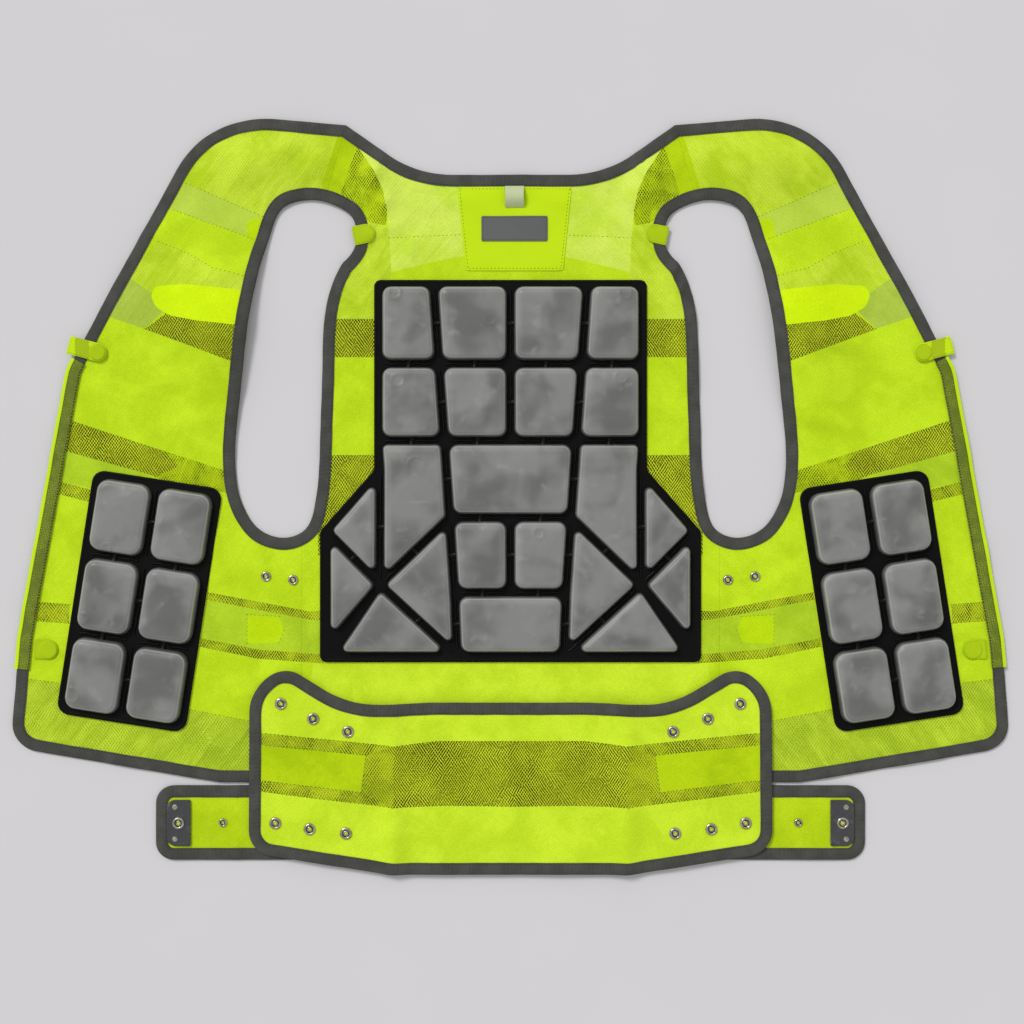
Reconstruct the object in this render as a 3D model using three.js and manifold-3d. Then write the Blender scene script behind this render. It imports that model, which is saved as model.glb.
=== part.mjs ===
import * as THREE from 'three';
import { mergeVertices } from 'three/addons/utils/BufferGeometryUtils.js';
import Module from 'manifold-3d';

// A cooling vest, opened out and lying flat with its inside face up.
// Millimetres. X runs across the vest, Y from its hem to its neck, Z up from the surface it lies on.
// While it is built, Y = 0 is the hem. The last lines move the middle of the whole vest to the origin.

// Body, opened out
const ARM_SETBACK = 154; // middle of the back to the nearest point of an armhole
const ARM_WIDTH = 121; // opening of an armhole, across
const ARM_LENGTH = 337; // opening of an armhole, from its foot to its top
const FRONT_WIDTH = 224; // armhole to front edge, at its widest
const SIDE_LENGTH = 245.5; // hem to the foot of an armhole
const SHOULDER_WIDTH = 82; // top of an armhole to the shoulder's edge
const NECK_WIDTH = 328; // between the two shoulder seams
const NECK_DROP = 56.5; // shoulder's edge down to the lowest point of the neckline
const SHOULDER_POINT_DROP = 7; // shoulder's edge down to the neck end of its seam
const NECK_FLAT = 0.573; // level part of the neckline, share of its width
const NECK_BEND = 0.67; // corner radius of the neckline, share of half its width
const CLOTH = 1.5; // body cloth, mesh with its facing

// Edge tape, folded round the edges
const TAPE = 0.8; // one leaf
const TAPE_WIDTH = 12; // seen width
const GAP = 0.3; // between neighbouring pieces
const SEAM_GAP = 0.4; // between cloths at a seam
const SIDE_SEAM = 0.45; // where the side seam meets the armhole, share of the armhole's width
const SHOULDER_SEAM = 0.29; // where the shoulder seam meets it

// Waist strap and the waist panel on it
const STRAP_LENGTH = 708;
const STRAP_WIDTH = 74.5;
const STRAP_CORNER = 18;
const STRAP_BELOW_HEM = 1.5;
const WAIST_WIDTH = 522;
const WAIST_HEIGHT = 172.5; // at the middle
const WAIST_ABOVE_HEM = 82.5; // top edge at the middle
const PLATE_WIDTH = 24;
const PLATE_LENGTH = 46;
const PLATE_CORNER = 9;
const PLATE = 1.5; // thickness
const PLATE_BEYOND_TAPE = 1; // plate's outer edge past the tape's inner edge
const RIVET_RADIUS = 3;
const RIVET_TOP_RADIUS = 1.8;
const RIVET_OUTWARDS = 3.6; // rivet to the plate's middle, across
const RIVET_FROM_MIDDLE = 16; // and along
const RIVET_RISE = 0.8;

// Cooling packs
const CARRIER = 2.5; // thickness
const CARRIER_CORNER = 6;
const CELL_HEIGHT = 12;
const CELL_EDGE = 4; // sloped edge round a cell's top
const WELD = 7; // flat seam between two cells
const CHANNEL_WIDTH = 7; // small passage between two cells
const CHANNEL_HEIGHT = 4;
const BACK_PACK_CLEARANCE = 6; // back carrier to the armhole's tape
const BACK_PACK_ABOVE_WAIST = 39; // back carrier to the waist panel's top edge
const FLARE_REACH = 36; // flared part of the back carrier, past the armhole's near edge
const FLARE_TOP = 67.5; // where the flare starts, above the armhole's foot
const FLARE_FULL = 6.5; // where it has its full width, above the armhole's foot
const FRONT_PACK_LENGTH = 246;
const FRONT_PACK_CORNER = 12;
const FRONT_PACK_MARGINS = 94; // front width that a front carrier leaves free
const FRONT_PACK_ABOVE_HEM = 51;
const FRONT_PACK_TILT = 8.8; // degrees, top towards the neck
const FRONT_CELL_ROWS = 3;
const FRONT_CELL_COLUMNS = 2;

// Label below the neck
const LABEL_PATCH_TOP = 114;
const LABEL_PATCH_FOOT = 97;
const LABEL_PATCH_HEIGHT = 83.5;
const LABEL_SHIFT = 4; // sewn a little off the middle
const LABEL_TO_PACK = 9.5;
const LABEL_WIDTH = 66;
const LABEL_HEIGHT = 25;
const LABEL = 0.6; // thickness of the patch and of the label
const LOOP_WIDTH = 19;
const LOOP_DROP = 20;
const LOOP_RISE = 6;

// Closure tape and tabs at the front edges
const CLOSURE_WIDTH = 15;
const CLOSURE_OVERHANG = 2;
const CLOSURE = 0.8; // thickness
const CLOSURE_TOP = 426; // its upper end, above the hem
const CLOSURE_FOOT = 114; // its lower end, above the hem
const TAB = 1.2; // thickness
// Tabs, with their turn in degrees. above: over the tape's end, overhang: past the front edge,
// inside: in from the front edge or from the armhole's near edge, below: under the armhole's top
const UPPER_TAB = { length: 39, width: 18, turn: -15, above: -2, overhang: 10 };
const LOWER_TAB = { length: 24, width: 20, turn: -3, above: 10, inside: 16 };
const ARM_TAB = { length: 22, width: 19, turn: 12, below: 34, inside: 8 };

// Press studs
const STUD_RADIUS = 6;
const SMALL_STUD_RADIUS = 4.3;
const SIDE_STUD_RADIUS = 5.1;
const STUD_HEIGHT = 2.4;
const STUD_RIM = 1.1; // height of its rim
const STUD_CROWN = 0.6; // flat top, share of its radius
const STRAP_STUD_SHARE = 0.45; // small stud of the strap, along what shows from the panel to the plate
const ROUND_SIDES = 8; // flat sides of a stud or a rivet

// Folds of the cloth
const FOLD_HEIGHT = 14;
const CREASE_HEIGHT = 4;
const CREASE_WIDTH = 18; // each side of its crest
const GRID_STEP = 38; // spacing of the points that carry the folds
const ARC_SAG = 1.2; // most that a rounded corner's straight pieces stray from its arc

// Places worked out from the sizes
const half = ARM_SETBACK + ARM_WIDTH + FRONT_WIDTH;
const armTop = SIDE_LENGTH + ARM_LENGTH;
const bodyLength = armTop + SHOULDER_WIDTH;
const neckY = bodyLength - NECK_DROP;
const edgeHeight = 2 * TAPE + 2 * GAP + CLOTH; // cloth with the tape folded round it
const clothBase = TAPE + GAP;
const onCloth = clothBase + CLOTH + GAP;
const onTape = edgeHeight + GAP;
const waistHalf = WAIST_WIDTH / 2;
const waistFoot = WAIST_ABOVE_HEM - WAIST_HEIGHT;

// Right half of the body's outline, from the shoulder seam down to the hem.
// x: share of the half width, y: share of the body's length, bend: corner radius as a share of the half width
const BODY_CORNERS = [
  { x: 0.607, y: 1.007, bend: 0.205 }, // shoulder, just past the end of its seam
  { x: 0.885, y: 0.622, bend: 0.08 }, // top of the front edge
  { x: 0.9825, y: 0.218, bend: 0.12 }, // front edge turns straight down
  { x: 1.0, y: 0.055, bend: 0.056 }, // lower front corner
  { x: 0.581, y: 0.002, bend: 0.12 }, // hem turns level
];

// Right armhole, from its top outwards and round. x: share of its width, y: share of its length
const ARMHOLE = [
  { x: 0.4, y: 1.0 },
  { x: 0.61, y: 0.975 },
  { x: 0.735, y: 0.868 },
  { x: 0.843, y: 0.717 },
  { x: 0.942, y: 0.455 },
  { x: 1.0, y: 0.242 },
  { x: 0.95, y: 0.108 },
  { x: 0.8, y: 0.025 },
  { x: 0.587, y: 0.0 },
  { x: 0.413, y: 0.028 },
  { x: 0.33, y: 0.123 },
  { x: 0.289, y: 0.39 },
  { x: 0.248, y: 0.687 },
  { x: 0.149, y: 0.791 },
  { x: 0.008, y: 0.865 },
  { x: 0.025, y: 0.945 },
  { x: 0.19, y: 0.987 },
];

// Right half of the waist panel's outline, from the top edge round its ear to the foot.
// x and bend: shares of its half width, y: share of its height from the foot
const WAIST_CORNERS = [
  { x: 0.3, y: 0.994, bend: 0 }, // end of the straight top
  { x: 0.612, y: 0.975, bend: 0.38 }, // foot of the rise to the raised end
  { x: 0.866, y: 1.212, bend: 0.105 }, // top of the raised end
  { x: 0.996, y: 1.055, bend: 0.17 },
  { x: 1.0, y: 0.128, bend: 0.1 },
  { x: 0.464, y: 0.0, bend: 0.3 },
];

// Folds that lift the body's cloth. x: share of the half width, y: share of the body's length,
// along and across: half lengths as shares of the body's length, turn: degrees, height: share of FOLD_HEIGHT
const FOLDS = [
  { x: 0.585, y: 0.685, along: 0.195, across: 0.11, turn: 9, height: 1.0 }, // front side of the armhole
  { x: 0.51, y: 0.93, along: 0.075, across: 0.14, turn: 0, height: 0.6 }, // shoulder
  { x: 0.272, y: 0.903, along: 0.085, across: 0.04, turn: -26, height: 0.45 }, // beside the neck
  { x: 0.79, y: 0.74, along: 0.1, across: 0.075, turn: 25, height: 0.3 }, // upper front
];
const crease = 0.444 * waistHalf; // upright creases of the waist panel, from its middle

// Points where the back pack's welded seams meet, right half.
// First number: share of the pack's half width, second: share of its height from the foot
const SEAM_POINTS = {
  m0: [0, 0.992],
  m1: [0, 0.78],
  m2: [0, 0.579],
  m3: [0, 0.378],
  m4: [0, 0.182],
  m5: [0, 0.017],
  s0: [0.403, 0.992],
  s1: [0.374, 0.78],
  s2: [0.345, 0.579],
  s3: [0.318, 0.378],
  s4: [0.292, 0.182],
  s5: [0.279, 0.017],
  e0: [0.692, 0.992],
  e1: [0.692, 0.78],
  e2: [0.692, 0.579],
  waist: [0.682, 0.504],
  cross: [0.684, 0.203],
  flare: [0.963, 0.344],
  low: [0.963, 0.039],
  foot: [0.937, 0.017],
};

// Cells of the back pack between those points.
// A whole cell runs over the middle, the others have a mirror twin.
const BACK_CELLS = [
  { points: ['m0', 's0', 's1', 'm1'], corner: 9 },
  { points: ['s0', 'e0', 'e1', 's1'], corner: 9 },
  { points: ['m1', 's1', 's2', 'm2'], corner: 9 },
  { points: ['s1', 'e1', 'e2', 's2'], corner: 9 },
  { points: ['m2', 's2', 's3', 'm3'], corner: 9, whole: true },
  { points: ['s2', 'e2', 'waist', 'cross', 's3'], corner: 5 },
  { points: ['m3', 's3', 's4', 'm4'], corner: 9 },
  { points: ['m4', 's4', 's5', 'm5'], corner: 9, whole: true },
  { points: ['waist', 'flare', 'cross'], corner: 5 },
  { points: ['flare', 'low', 'cross'], corner: 5 },
  { points: ['cross', 'foot', 's5'], corner: 5 },
  { points: ['s3', 'cross', 's5', 's4'], corner: 5 },
];

// Press studs of the waist panel, right half.
// x: share of its half width, y: share of its height from the foot
const WAIST_STUDS = [
  { name: 'upper_outer', x: 0.876, y: 0.988 },
  { name: 'upper_middle', x: 0.753, y: 0.901 },
  { name: 'upper_inner', x: 0.62, y: 0.826 },
  { name: 'lower_outer', x: 0.897, y: 0.299 },
  { name: 'lower_middle', x: 0.766, y: 0.264 },
  { name: 'lower_inner', x: 0.628, y: 0.24 },
];

// Press studs under the armhole. x: share of its width, y: share of the side's length
const SIDE_STUDS = [
  { name: 'outer', x: 0.744, y: 0.843 },
  { name: 'inner', x: 0.52, y: 0.829 },
];

const FINISHES = {
  cloth: { color: 0xc2e32a, roughness: 0.85, metalness: 0 },
  tape: { color: 0x4c4c48, roughness: 0.9, metalness: 0 },
  facing: { color: 0xbfe41f, roughness: 0.75, metalness: 0 },
  closure: { color: 0x6f8a2c, roughness: 0.95, metalness: 0 },
  carrier: { color: 0x121212, roughness: 0.55, metalness: 0 },
  cell: { color: 0x80807e, roughness: 0.35, metalness: 0 },
  label: { color: 0x77787a, roughness: 0.6, metalness: 0 },
  loop: { color: 0xd5d8c8, roughness: 0.7, metalness: 0 },
  plate: { color: 0x4b4b4d, roughness: 0.35, metalness: 0.1 },
  stud: { color: 0xb9b3a6, roughness: 0.3, metalness: 1 },
};

const wasm = await Module();
wasm.setup();

// Closed geometry to a solid that can be joined and cut
function toSolid(geometry) {
  const bare = geometry.clone();
  bare.deleteAttribute('normal');
  bare.deleteAttribute('uv');
  const merged = mergeVertices(bare, 1e-4);
  return new wasm.Manifold(new wasm.Mesh({
    numProp: 3,
    vertProperties: new Float32Array(merged.attributes.position.array),
    triVerts: new Uint32Array(merged.index.array),
  }));
}

// Solid back to a geometry
function toGeometry(solid) {
  const mesh = solid.getMesh();
  const geometry = new THREE.BufferGeometry();
  geometry.setAttribute('position', new THREE.BufferAttribute(mesh.vertProperties, mesh.numProp));
  geometry.setIndex(new THREE.BufferAttribute(mesh.triVerts, 1));
  geometry.computeVertexNormals();
  return geometry;
}

function makeMesh(name, geometry, finish) {
  const mesh = new THREE.Mesh(geometry, new THREE.MeshStandardMaterial(FINISHES[finish]));
  mesh.name = name;
  return mesh;
}

// Closed outline through corners { x, y, r }, each rounded to its radius as far as its sides allow
function rounded(corners) {
  const points = [];
  corners.forEach((corner, i) => {
    const at = new THREE.Vector2(corner.x, corner.y);
    const before = corners[(i + corners.length - 1) % corners.length];
    const after = corners[(i + 1) % corners.length];
    const back = new THREE.Vector2(before.x, before.y).sub(at);
    const on = new THREE.Vector2(after.x, after.y).sub(at);
    const room = 0.49 * Math.min(back.length(), on.length());
    back.normalize();
    on.normalize();
    const turn = Math.PI - Math.acos(THREE.MathUtils.clamp(back.dot(on), -1, 1));
    const reach = Math.min(corner.r * Math.tan(turn / 2), room);
    if (reach < 0.01) {
      points.push(at);
      return;
    }
    const radius = reach / Math.tan(turn / 2);
    const inwards = back.clone().add(on).normalize();
    const centre = at.clone().addScaledVector(inwards, radius / Math.cos(turn / 2));
    const start = at.clone().addScaledVector(back, reach);
    const way = Math.sign(on.cross(back)) || 1;
    const pieceTurn = 2 * Math.acos(1 - ARC_SAG / Math.max(radius, 3 * ARC_SAG));
    const steps = Math.ceil(turn / pieceTurn);
    for (let step = 0; step <= steps; step += 1) {
      points.push(start.clone().rotateAround(centre, way * turn * (step / steps)));
    }
  });
  return points;
}

// Closed outline from the corners of its right half, listed from the top down
function mirrored(corners) {
  const left = corners.map((corner) => ({ ...corner, x: -corner.x })).reverse();
  return rounded([...corners, ...left]);
}

// Closed outline moved inwards by a distance, or outwards where the distance is negative
function inset(points, distance) {
  const side = Math.sign(THREE.ShapeUtils.area(points));
  return points.map((point, i) => {
    const before = points[(i + points.length - 1) % points.length];
    const after = points[(i + 1) % points.length];
    const arriving = point.clone().sub(before).normalize();
    const leaving = after.clone().sub(point).normalize();
    const normal = new THREE.Vector2(-leaving.y, leaving.x);
    const middle = new THREE.Vector2(-arriving.y, arriving.x).add(normal).normalize();
    return point.clone().addScaledVector(middle, (side * distance) / middle.dot(normal));
  });
}

function flipped(points, side) {
  return points.map((point) => new THREE.Vector2(side * point.x, point.y));
}

// Straight-sided plate between two heights
function plate(outline, low, high) {
  const shape = new THREE.Shape(outline);
  const geometry = new THREE.ExtrudeGeometry(shape, { depth: high - low, bevelEnabled: false });
  return geometry.translate(0, 0, low);
}

// Upright column over an outline, without its holes, taller than every fold
const tall = FOLD_HEIGHT * FOLDS.length;
function column(outline, holes = []) {
  const cut = (solid, hole) => solid.subtract(toSolid(plate(hole, -2 * tall, 2 * tall)));
  return holes.reduce(cut, toSolid(plate(outline, -tall, tall)));
}

// Height of a smooth mound with an oval foot, 1 at its middle and 0 from its foot outwards
function mound(x, y, fold) {
  const turn = THREE.MathUtils.degToRad(fold.turn);
  const dx = x - fold.x * half;
  const dy = y - fold.y * bodyLength;
  const along = (dy * Math.cos(turn) - dx * Math.sin(turn)) / (fold.along * bodyLength);
  const across = (dx * Math.cos(turn) + dy * Math.sin(turn)) / (fold.across * bodyLength);
  const distance = Math.hypot(along, across);
  return distance < 1 ? 0.5 + 0.5 * Math.cos(Math.PI * distance) : 0;
}

function bodyRise(x, y) {
  return FOLDS.reduce((sum, fold) => sum + FOLD_HEIGHT * fold.height * mound(Math.abs(x), y, fold), 0);
}

function waistRise(x) {
  return CREASE_HEIGHT * Math.max(0, 1 - Math.abs(Math.abs(x) - crease) / CREASE_WIDTH);
}

// Grid lines between two places, a share of GRID_STEP apart
function lines(from, to, share = 1) {
  const count = Math.ceil((to - from) / (share * GRID_STEP));
  return Array.from({ length: count + 1 }, (_, i) => from + ((to - from) * i) / count);
}

// A rise and the grid lines of its right half that carry it. Where the cloth is flat it needs no line.
const neckFold = FOLDS[2].x * half;
const edgeX = half + GRID_STEP;
const BODY_WAVES = {
  rise: bodyRise,
  x: [...lines(neckFold - GRID_STEP, neckFold + GRID_STEP, 0.5), ...lines(neckFold + 2 * GRID_STEP, half)],
  y: lines(bodyLength * (FOLDS[0].y - FOLDS[0].along), bodyLength),
};
const WAIST_WAVES = { rise: waistRise, x: [crease - CREASE_WIDTH, crease, crease + CREASE_WIDTH], y: [] };
const LEVEL = { rise: () => 0, x: [], y: [] };

// Wavy slab over the whole vest, between two heights above the folds
const slabs = new Map();
function slab(waves, low, high) {
  const key = `${waves.x.length} ${low.toFixed(3)} ${high.toFixed(3)}`;
  if (slabs.has(key)) return slabs.get(key);
  const right = [...waves.x, edgeX];
  const xs = [...right.map((x) => -x).reverse(), 0, ...right];
  const ys = [waistFoot - GRID_STEP, ...waves.y, bodyLength + GRID_STEP];
  const places = [];
  for (const height of [low, high]) {
    for (const y of ys) {
      for (const x of xs) places.push(x, y, waves.rise(x, y) + height);
    }
  }
  const at = (layer, i, j) => (layer * ys.length + j) * xs.length + i;
  const triangles = [];
  const quad = (a, b, c, d) => triangles.push(a, b, c, a, c, d);
  for (let j = 0; j + 1 < ys.length; j += 1) {
    for (let i = 0; i + 1 < xs.length; i += 1) {
      quad(at(1, i, j), at(1, i + 1, j), at(1, i + 1, j + 1), at(1, i, j + 1));
      quad(at(0, i, j), at(0, i, j + 1), at(0, i + 1, j + 1), at(0, i + 1, j));
    }
    const last = xs.length - 1;
    quad(at(0, 0, j), at(1, 0, j), at(1, 0, j + 1), at(0, 0, j + 1));
    quad(at(0, last, j), at(0, last, j + 1), at(1, last, j + 1), at(1, last, j));
  }
  for (let i = 0; i + 1 < xs.length; i += 1) {
    const last = ys.length - 1;
    quad(at(0, i, 0), at(0, i + 1, 0), at(1, i + 1, 0), at(1, i, 0));
    quad(at(0, i, last), at(1, i, last), at(1, i + 1, last), at(0, i + 1, last));
  }
  const solid = new wasm.Manifold(new wasm.Mesh({
    numProp: 3,
    vertProperties: new Float32Array(places),
    triVerts: new Uint32Array(triangles),
  }));
  slabs.set(key, solid);
  return solid;
}

// Sheet over the given column that follows the folds between two heights
function sheet(region, waves, low, high) {
  return region.intersect(slab(waves, low, high));
}

// Tape folded round the edge of a cloth: ring is its seen band, inside is what the fold leaves open
function foldedTape(ring, inside, waves, base) {
  const open = sheet(inside, waves, base + TAPE, base + edgeHeight - TAPE);
  return sheet(ring, waves, base, base + edgeHeight).subtract(open);
}

// Body outline and armholes
const bodyOutline = mirrored([
  { x: NECK_FLAT * (NECK_WIDTH / 2), y: neckY, r: NECK_BEND * (NECK_WIDTH / 2) },
  { x: NECK_WIDTH / 2, y: bodyLength - SHOULDER_POINT_DROP, r: 0 },
  ...BODY_CORNERS.map((row) => ({ x: row.x * half, y: row.y * bodyLength, r: row.bend * half })),
]);
const armholeKnots = ARMHOLE.map(
  (row) => new THREE.Vector3(ARM_SETBACK + row.x * ARM_WIDTH, SIDE_LENGTH + row.y * ARM_LENGTH, 0),
);
const armholeCurve = new THREE.CatmullRomCurve3(armholeKnots, true, 'centripetal');
const armholePoints = armholeCurve.getPoints(2 * ARMHOLE.length).slice(1);
const armhole = armholePoints.map((point) => new THREE.Vector2(point.x, point.y));

function bodyRegion(edge) {
  return column(inset(bodyOutline, edge), [1, -1].map((side) => flipped(inset(armhole, -edge), side)));
}

// Line of the shoulder seam, the armhole and the side seam, and the zones of back and front beside it
const seamFoot = { x: ARM_SETBACK + SIDE_SEAM * ARM_WIDTH, y: SIDE_LENGTH + TAPE_WIDTH };
const shoulderEnd = new THREE.Vector2(NECK_WIDTH / 2, bodyLength - SHOULDER_POINT_DROP);
const armholeEnd = new THREE.Vector2(ARM_SETBACK + SHOULDER_SEAM * ARM_WIDTH, armTop - TAPE_WIDTH);
const pastShoulder = shoulderEnd.clone().sub(armholeEnd).setLength(2 * TAPE_WIDTH).add(shoulderEnd);
const seamLine = [
  pastShoulder,
  armholeEnd,
  new THREE.Vector2(seamFoot.x, seamFoot.y),
  new THREE.Vector2(seamFoot.x, -TAPE_WIDTH),
];
function seamAt(side, shift) {
  return seamLine.map((point) => new THREE.Vector2(side * (point.x + shift), point.y));
}

const backZone = column([...seamAt(1, -SEAM_GAP / 2), ...seamAt(-1, -SEAM_GAP / 2).reverse()]);

function frontZone(side) {
  const far = side * (half + TAPE_WIDTH);
  return column([
    ...seamAt(side, SEAM_GAP / 2),
    new THREE.Vector2(far, -TAPE_WIDTH),
    new THREE.Vector2(far, pastShoulder.y),
  ]);
}

function belt(low, high) {
  const reach = half + TAPE_WIDTH;
  return toSolid(new THREE.BoxGeometry(2 * reach, high - low, 2 * tall).translate(0, (low + high) / 2, 0));
}

// Body cloth and its edge tapes
function addBody(vest) {
  const cloth = sheet(bodyRegion(TAPE + GAP), BODY_WAVES, clothBase, clothBase + CLOTH);
  const ring = column(bodyOutline, [inset(bodyOutline, TAPE_WIDTH)]);
  const edgeTape = foldedTape(ring, column(inset(bodyOutline, TAPE)), BODY_WAVES, 0);
  const middle = (SIDE_LENGTH + neckY) / 2;
  const upper = belt(middle, 2 * bodyLength);
  const lower = belt(-bodyLength, middle);
  vest.add(makeMesh('back_panel', toGeometry(cloth.intersect(backZone)), 'cloth'));
  vest.add(makeMesh('neck_binding', toGeometry(edgeTape.intersect(backZone).intersect(upper)), 'tape'));
  vest.add(makeMesh('back_hem_binding', toGeometry(edgeTape.intersect(backZone).intersect(lower)), 'tape'));
  for (const [name, side] of [['right', 1], ['left', -1]]) {
    const front = frontZone(side);
    vest.add(makeMesh(`front_panel_${name}`, toGeometry(cloth.intersect(front)), 'cloth'));
    vest.add(makeMesh(`front_binding_${name}`, toGeometry(edgeTape.intersect(front)), 'tape'));
    const hole = flipped(armhole, side);
    const band = column(inset(hole, -TAPE_WIDTH), [hole]);
    const open = column(inset(hole, -2 * TAPE_WIDTH), [inset(hole, -TAPE)]);
    const tape = foldedTape(band, open, BODY_WAVES, 0);
    vest.add(makeMesh(`armhole_binding_${name}`, toGeometry(tape), 'tape'));
  }
}

// Waist strap under the hem, and the waist panel that lies on both
const strapTop = -STRAP_BELOW_HEM;
const strapY = strapTop - STRAP_WIDTH / 2;

function addWaist(vest) {
  const strapOutline = mirrored([
    { x: STRAP_LENGTH / 2, y: strapTop, r: STRAP_CORNER },
    { x: STRAP_LENGTH / 2, y: strapTop - STRAP_WIDTH, r: STRAP_CORNER },
  ]);
  const waistOutline = mirrored(WAIST_CORNERS.map((row) => (
    { x: row.x * waistHalf, y: waistFoot + row.y * WAIST_HEIGHT, r: row.bend * waistHalf }
  )));
  for (const [name, outline, waves, base] of [
    ['waist_strap', strapOutline, LEVEL, 0],
    ['waist_panel', waistOutline, WAIST_WAVES, onTape],
  ]) {
    const low = base + clothBase;
    const cloth = sheet(column(inset(outline, TAPE + GAP)), waves, low, low + CLOTH);
    const ring = column(outline, [inset(outline, TAPE_WIDTH)]);
    vest.add(makeMesh(name, toGeometry(cloth), 'cloth'));
    const tape = foldedTape(ring, column(inset(outline, TAPE)), waves, base);
    vest.add(makeMesh(`${name}_binding`, toGeometry(tape), 'tape'));
  }
}

// Plate with two rivets near each end of the strap
const plateX = STRAP_LENGTH / 2 - TAPE_WIDTH + PLATE_BEYOND_TAPE - PLATE_WIDTH / 2;

function addStrapPlate(vest, name, side) {
  const outline = rounded([
    { x: -PLATE_WIDTH / 2, y: -PLATE_LENGTH / 2, r: 1 },
    { x: PLATE_WIDTH / 2, y: -PLATE_LENGTH / 2, r: PLATE_CORNER },
    { x: PLATE_WIDTH / 2, y: PLATE_LENGTH / 2, r: PLATE_CORNER },
    { x: -PLATE_WIDTH / 2, y: PLATE_LENGTH / 2, r: 1 },
  ]);
  let solid = toSolid(plate(flipped(outline, side), 0, PLATE));
  for (const end of [1, -1]) {
    const rivet = new THREE.CylinderGeometry(RIVET_TOP_RADIUS, RIVET_RADIUS, PLATE + RIVET_RISE, ROUND_SIDES);
    rivet.rotateX(Math.PI / 2);
    rivet.translate(side * RIVET_OUTWARDS, end * RIVET_FROM_MIDDLE, (PLATE + RIVET_RISE) / 2);
    solid = solid.add(toSolid(rivet));
  }
  const mesh = makeMesh(`strap_plate_${name}`, toGeometry(solid), 'plate');
  mesh.position.set(side * plateX, strapY, onTape);
  vest.add(mesh);
}

// Solid through closed rings of points with the same count, listed from the lowest up
function loft(rings) {
  const count = rings[0].length;
  const places = rings.flatMap((ring) => ring.flatMap((point) => [point.x, point.y, point.z]));
  const triangles = [];
  for (let level = 0; level + 1 < rings.length; level += 1) {
    for (let i = 0; i < count; i += 1) {
      const [a, b] = [level * count + i, level * count + ((i + 1) % count)];
      triangles.push(a, b, b + count, a, b + count, a + count);
    }
  }
  const floor = rings[0].map((point) => new THREE.Vector2(point.x, point.y));
  const caps = THREE.ShapeUtils.triangulateShape(floor, []);
  const top = (rings.length - 1) * count;
  for (const [a, b, c] of caps) triangles.push(a, c, b, top + a, top + b, top + c);
  const geometry = new THREE.BufferGeometry();
  geometry.setAttribute('position', new THREE.Float32BufferAttribute(places, 3));
  geometry.setIndex(triangles);
  return geometry;
}

// One cooling cell: a low pillow with a sloped edge round its top, from the seam lines round it
function cell(seamLines, corner) {
  const ccw = THREE.ShapeUtils.area(seamLines) > 0 ? seamLines : [...seamLines].reverse();
  const wall = rounded(inset(ccw, WELD / 2).map((point) => ({ x: point.x, y: point.y, r: corner })));
  const crown = inset(wall, CELL_EDGE);
  const at = (points, z) => points.map((point) => new THREE.Vector3(point.x, point.y, z));
  return toSolid(loft([at(wall, 0), at(wall, CELL_HEIGHT - CELL_EDGE), at(crown, CELL_HEIGHT)]));
}

// Passage over the seam between two cells, from the seam's two ends
function channel(from, to) {
  const length = WELD + 2 * CELL_EDGE;
  const geometry = new THREE.BoxGeometry(CHANNEL_WIDTH, length, CHANNEL_HEIGHT);
  geometry.rotateZ(Math.atan2(to.y - from.y, to.x - from.x));
  geometry.translate((from.x + to.x) / 2, (from.y + to.y) / 2, CHANNEL_HEIGHT / 2);
  return toSolid(geometry);
}

// Back carrier: straight beside the armholes, flared below them
const backHalf = ARM_SETBACK - TAPE_WIDTH - BACK_PACK_CLEARANCE;
const flareHalf = ARM_SETBACK + FLARE_REACH;
const backFoot = WAIST_ABOVE_HEM + BACK_PACK_ABOVE_WAIST;
const patchTop = neckY - TAPE_WIDTH - GAP;
const backTop = patchTop - LABEL_PATCH_HEIGHT - LABEL_TO_PACK;

function addBackPack(vest) {
  const outline = mirrored([
    { x: backHalf, y: backTop, r: CARRIER_CORNER },
    { x: backHalf, y: SIDE_LENGTH + FLARE_TOP, r: CARRIER_CORNER },
    { x: flareHalf, y: SIDE_LENGTH + FLARE_FULL, r: CARRIER_CORNER },
    { x: flareHalf, y: backFoot, r: CARRIER_CORNER },
  ]);
  vest.add(makeMesh('back_pack_carrier', plate(outline, onCloth, onCloth + CARRIER), 'carrier'));

  const place = (name, side) => {
    const [x, y] = SEAM_POINTS[name];
    const at = new THREE.Vector2(side * x * flareHalf, backFoot + y * (backTop - backFoot));
    return { name: at.toArray().join(), at };
  };
  const solids = [];
  const seams = new Map();
  const addCell = (row, side) => {
    const own = row.points.map((name) => place(name, side));
    const twins = row.points.slice(1, -1).reverse().map((name) => place(name, -side));
    if (row.whole) own.push(...twins);
    solids.push(cell(own.map((point) => point.at), row.corner));
    own.forEach((point, i) => {
      const next = own[(i + 1) % own.length];
      const key = [point.name, next.name].sort().join(' ');
      if (seams.has(key)) solids.push(channel(point.at, next.at));
      seams.set(key, true);
    });
  };
  for (const row of BACK_CELLS) {
    addCell(row, 1);
    if (!row.whole) addCell(row, -1);
  }
  const joined = solids.reduce((sum, solid) => sum.add(solid));
  const mesh = makeMesh('back_cell_sheet', toGeometry(joined), 'cell');
  mesh.position.z = onCloth + CARRIER + GAP;
  vest.add(mesh);
}

// Front carrier with its rows of cells, in a group of its own that is tilted
const frontPackWidth = FRONT_WIDTH - FRONT_PACK_MARGINS;
const tilt = THREE.MathUtils.degToRad(FRONT_PACK_TILT);

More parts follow.
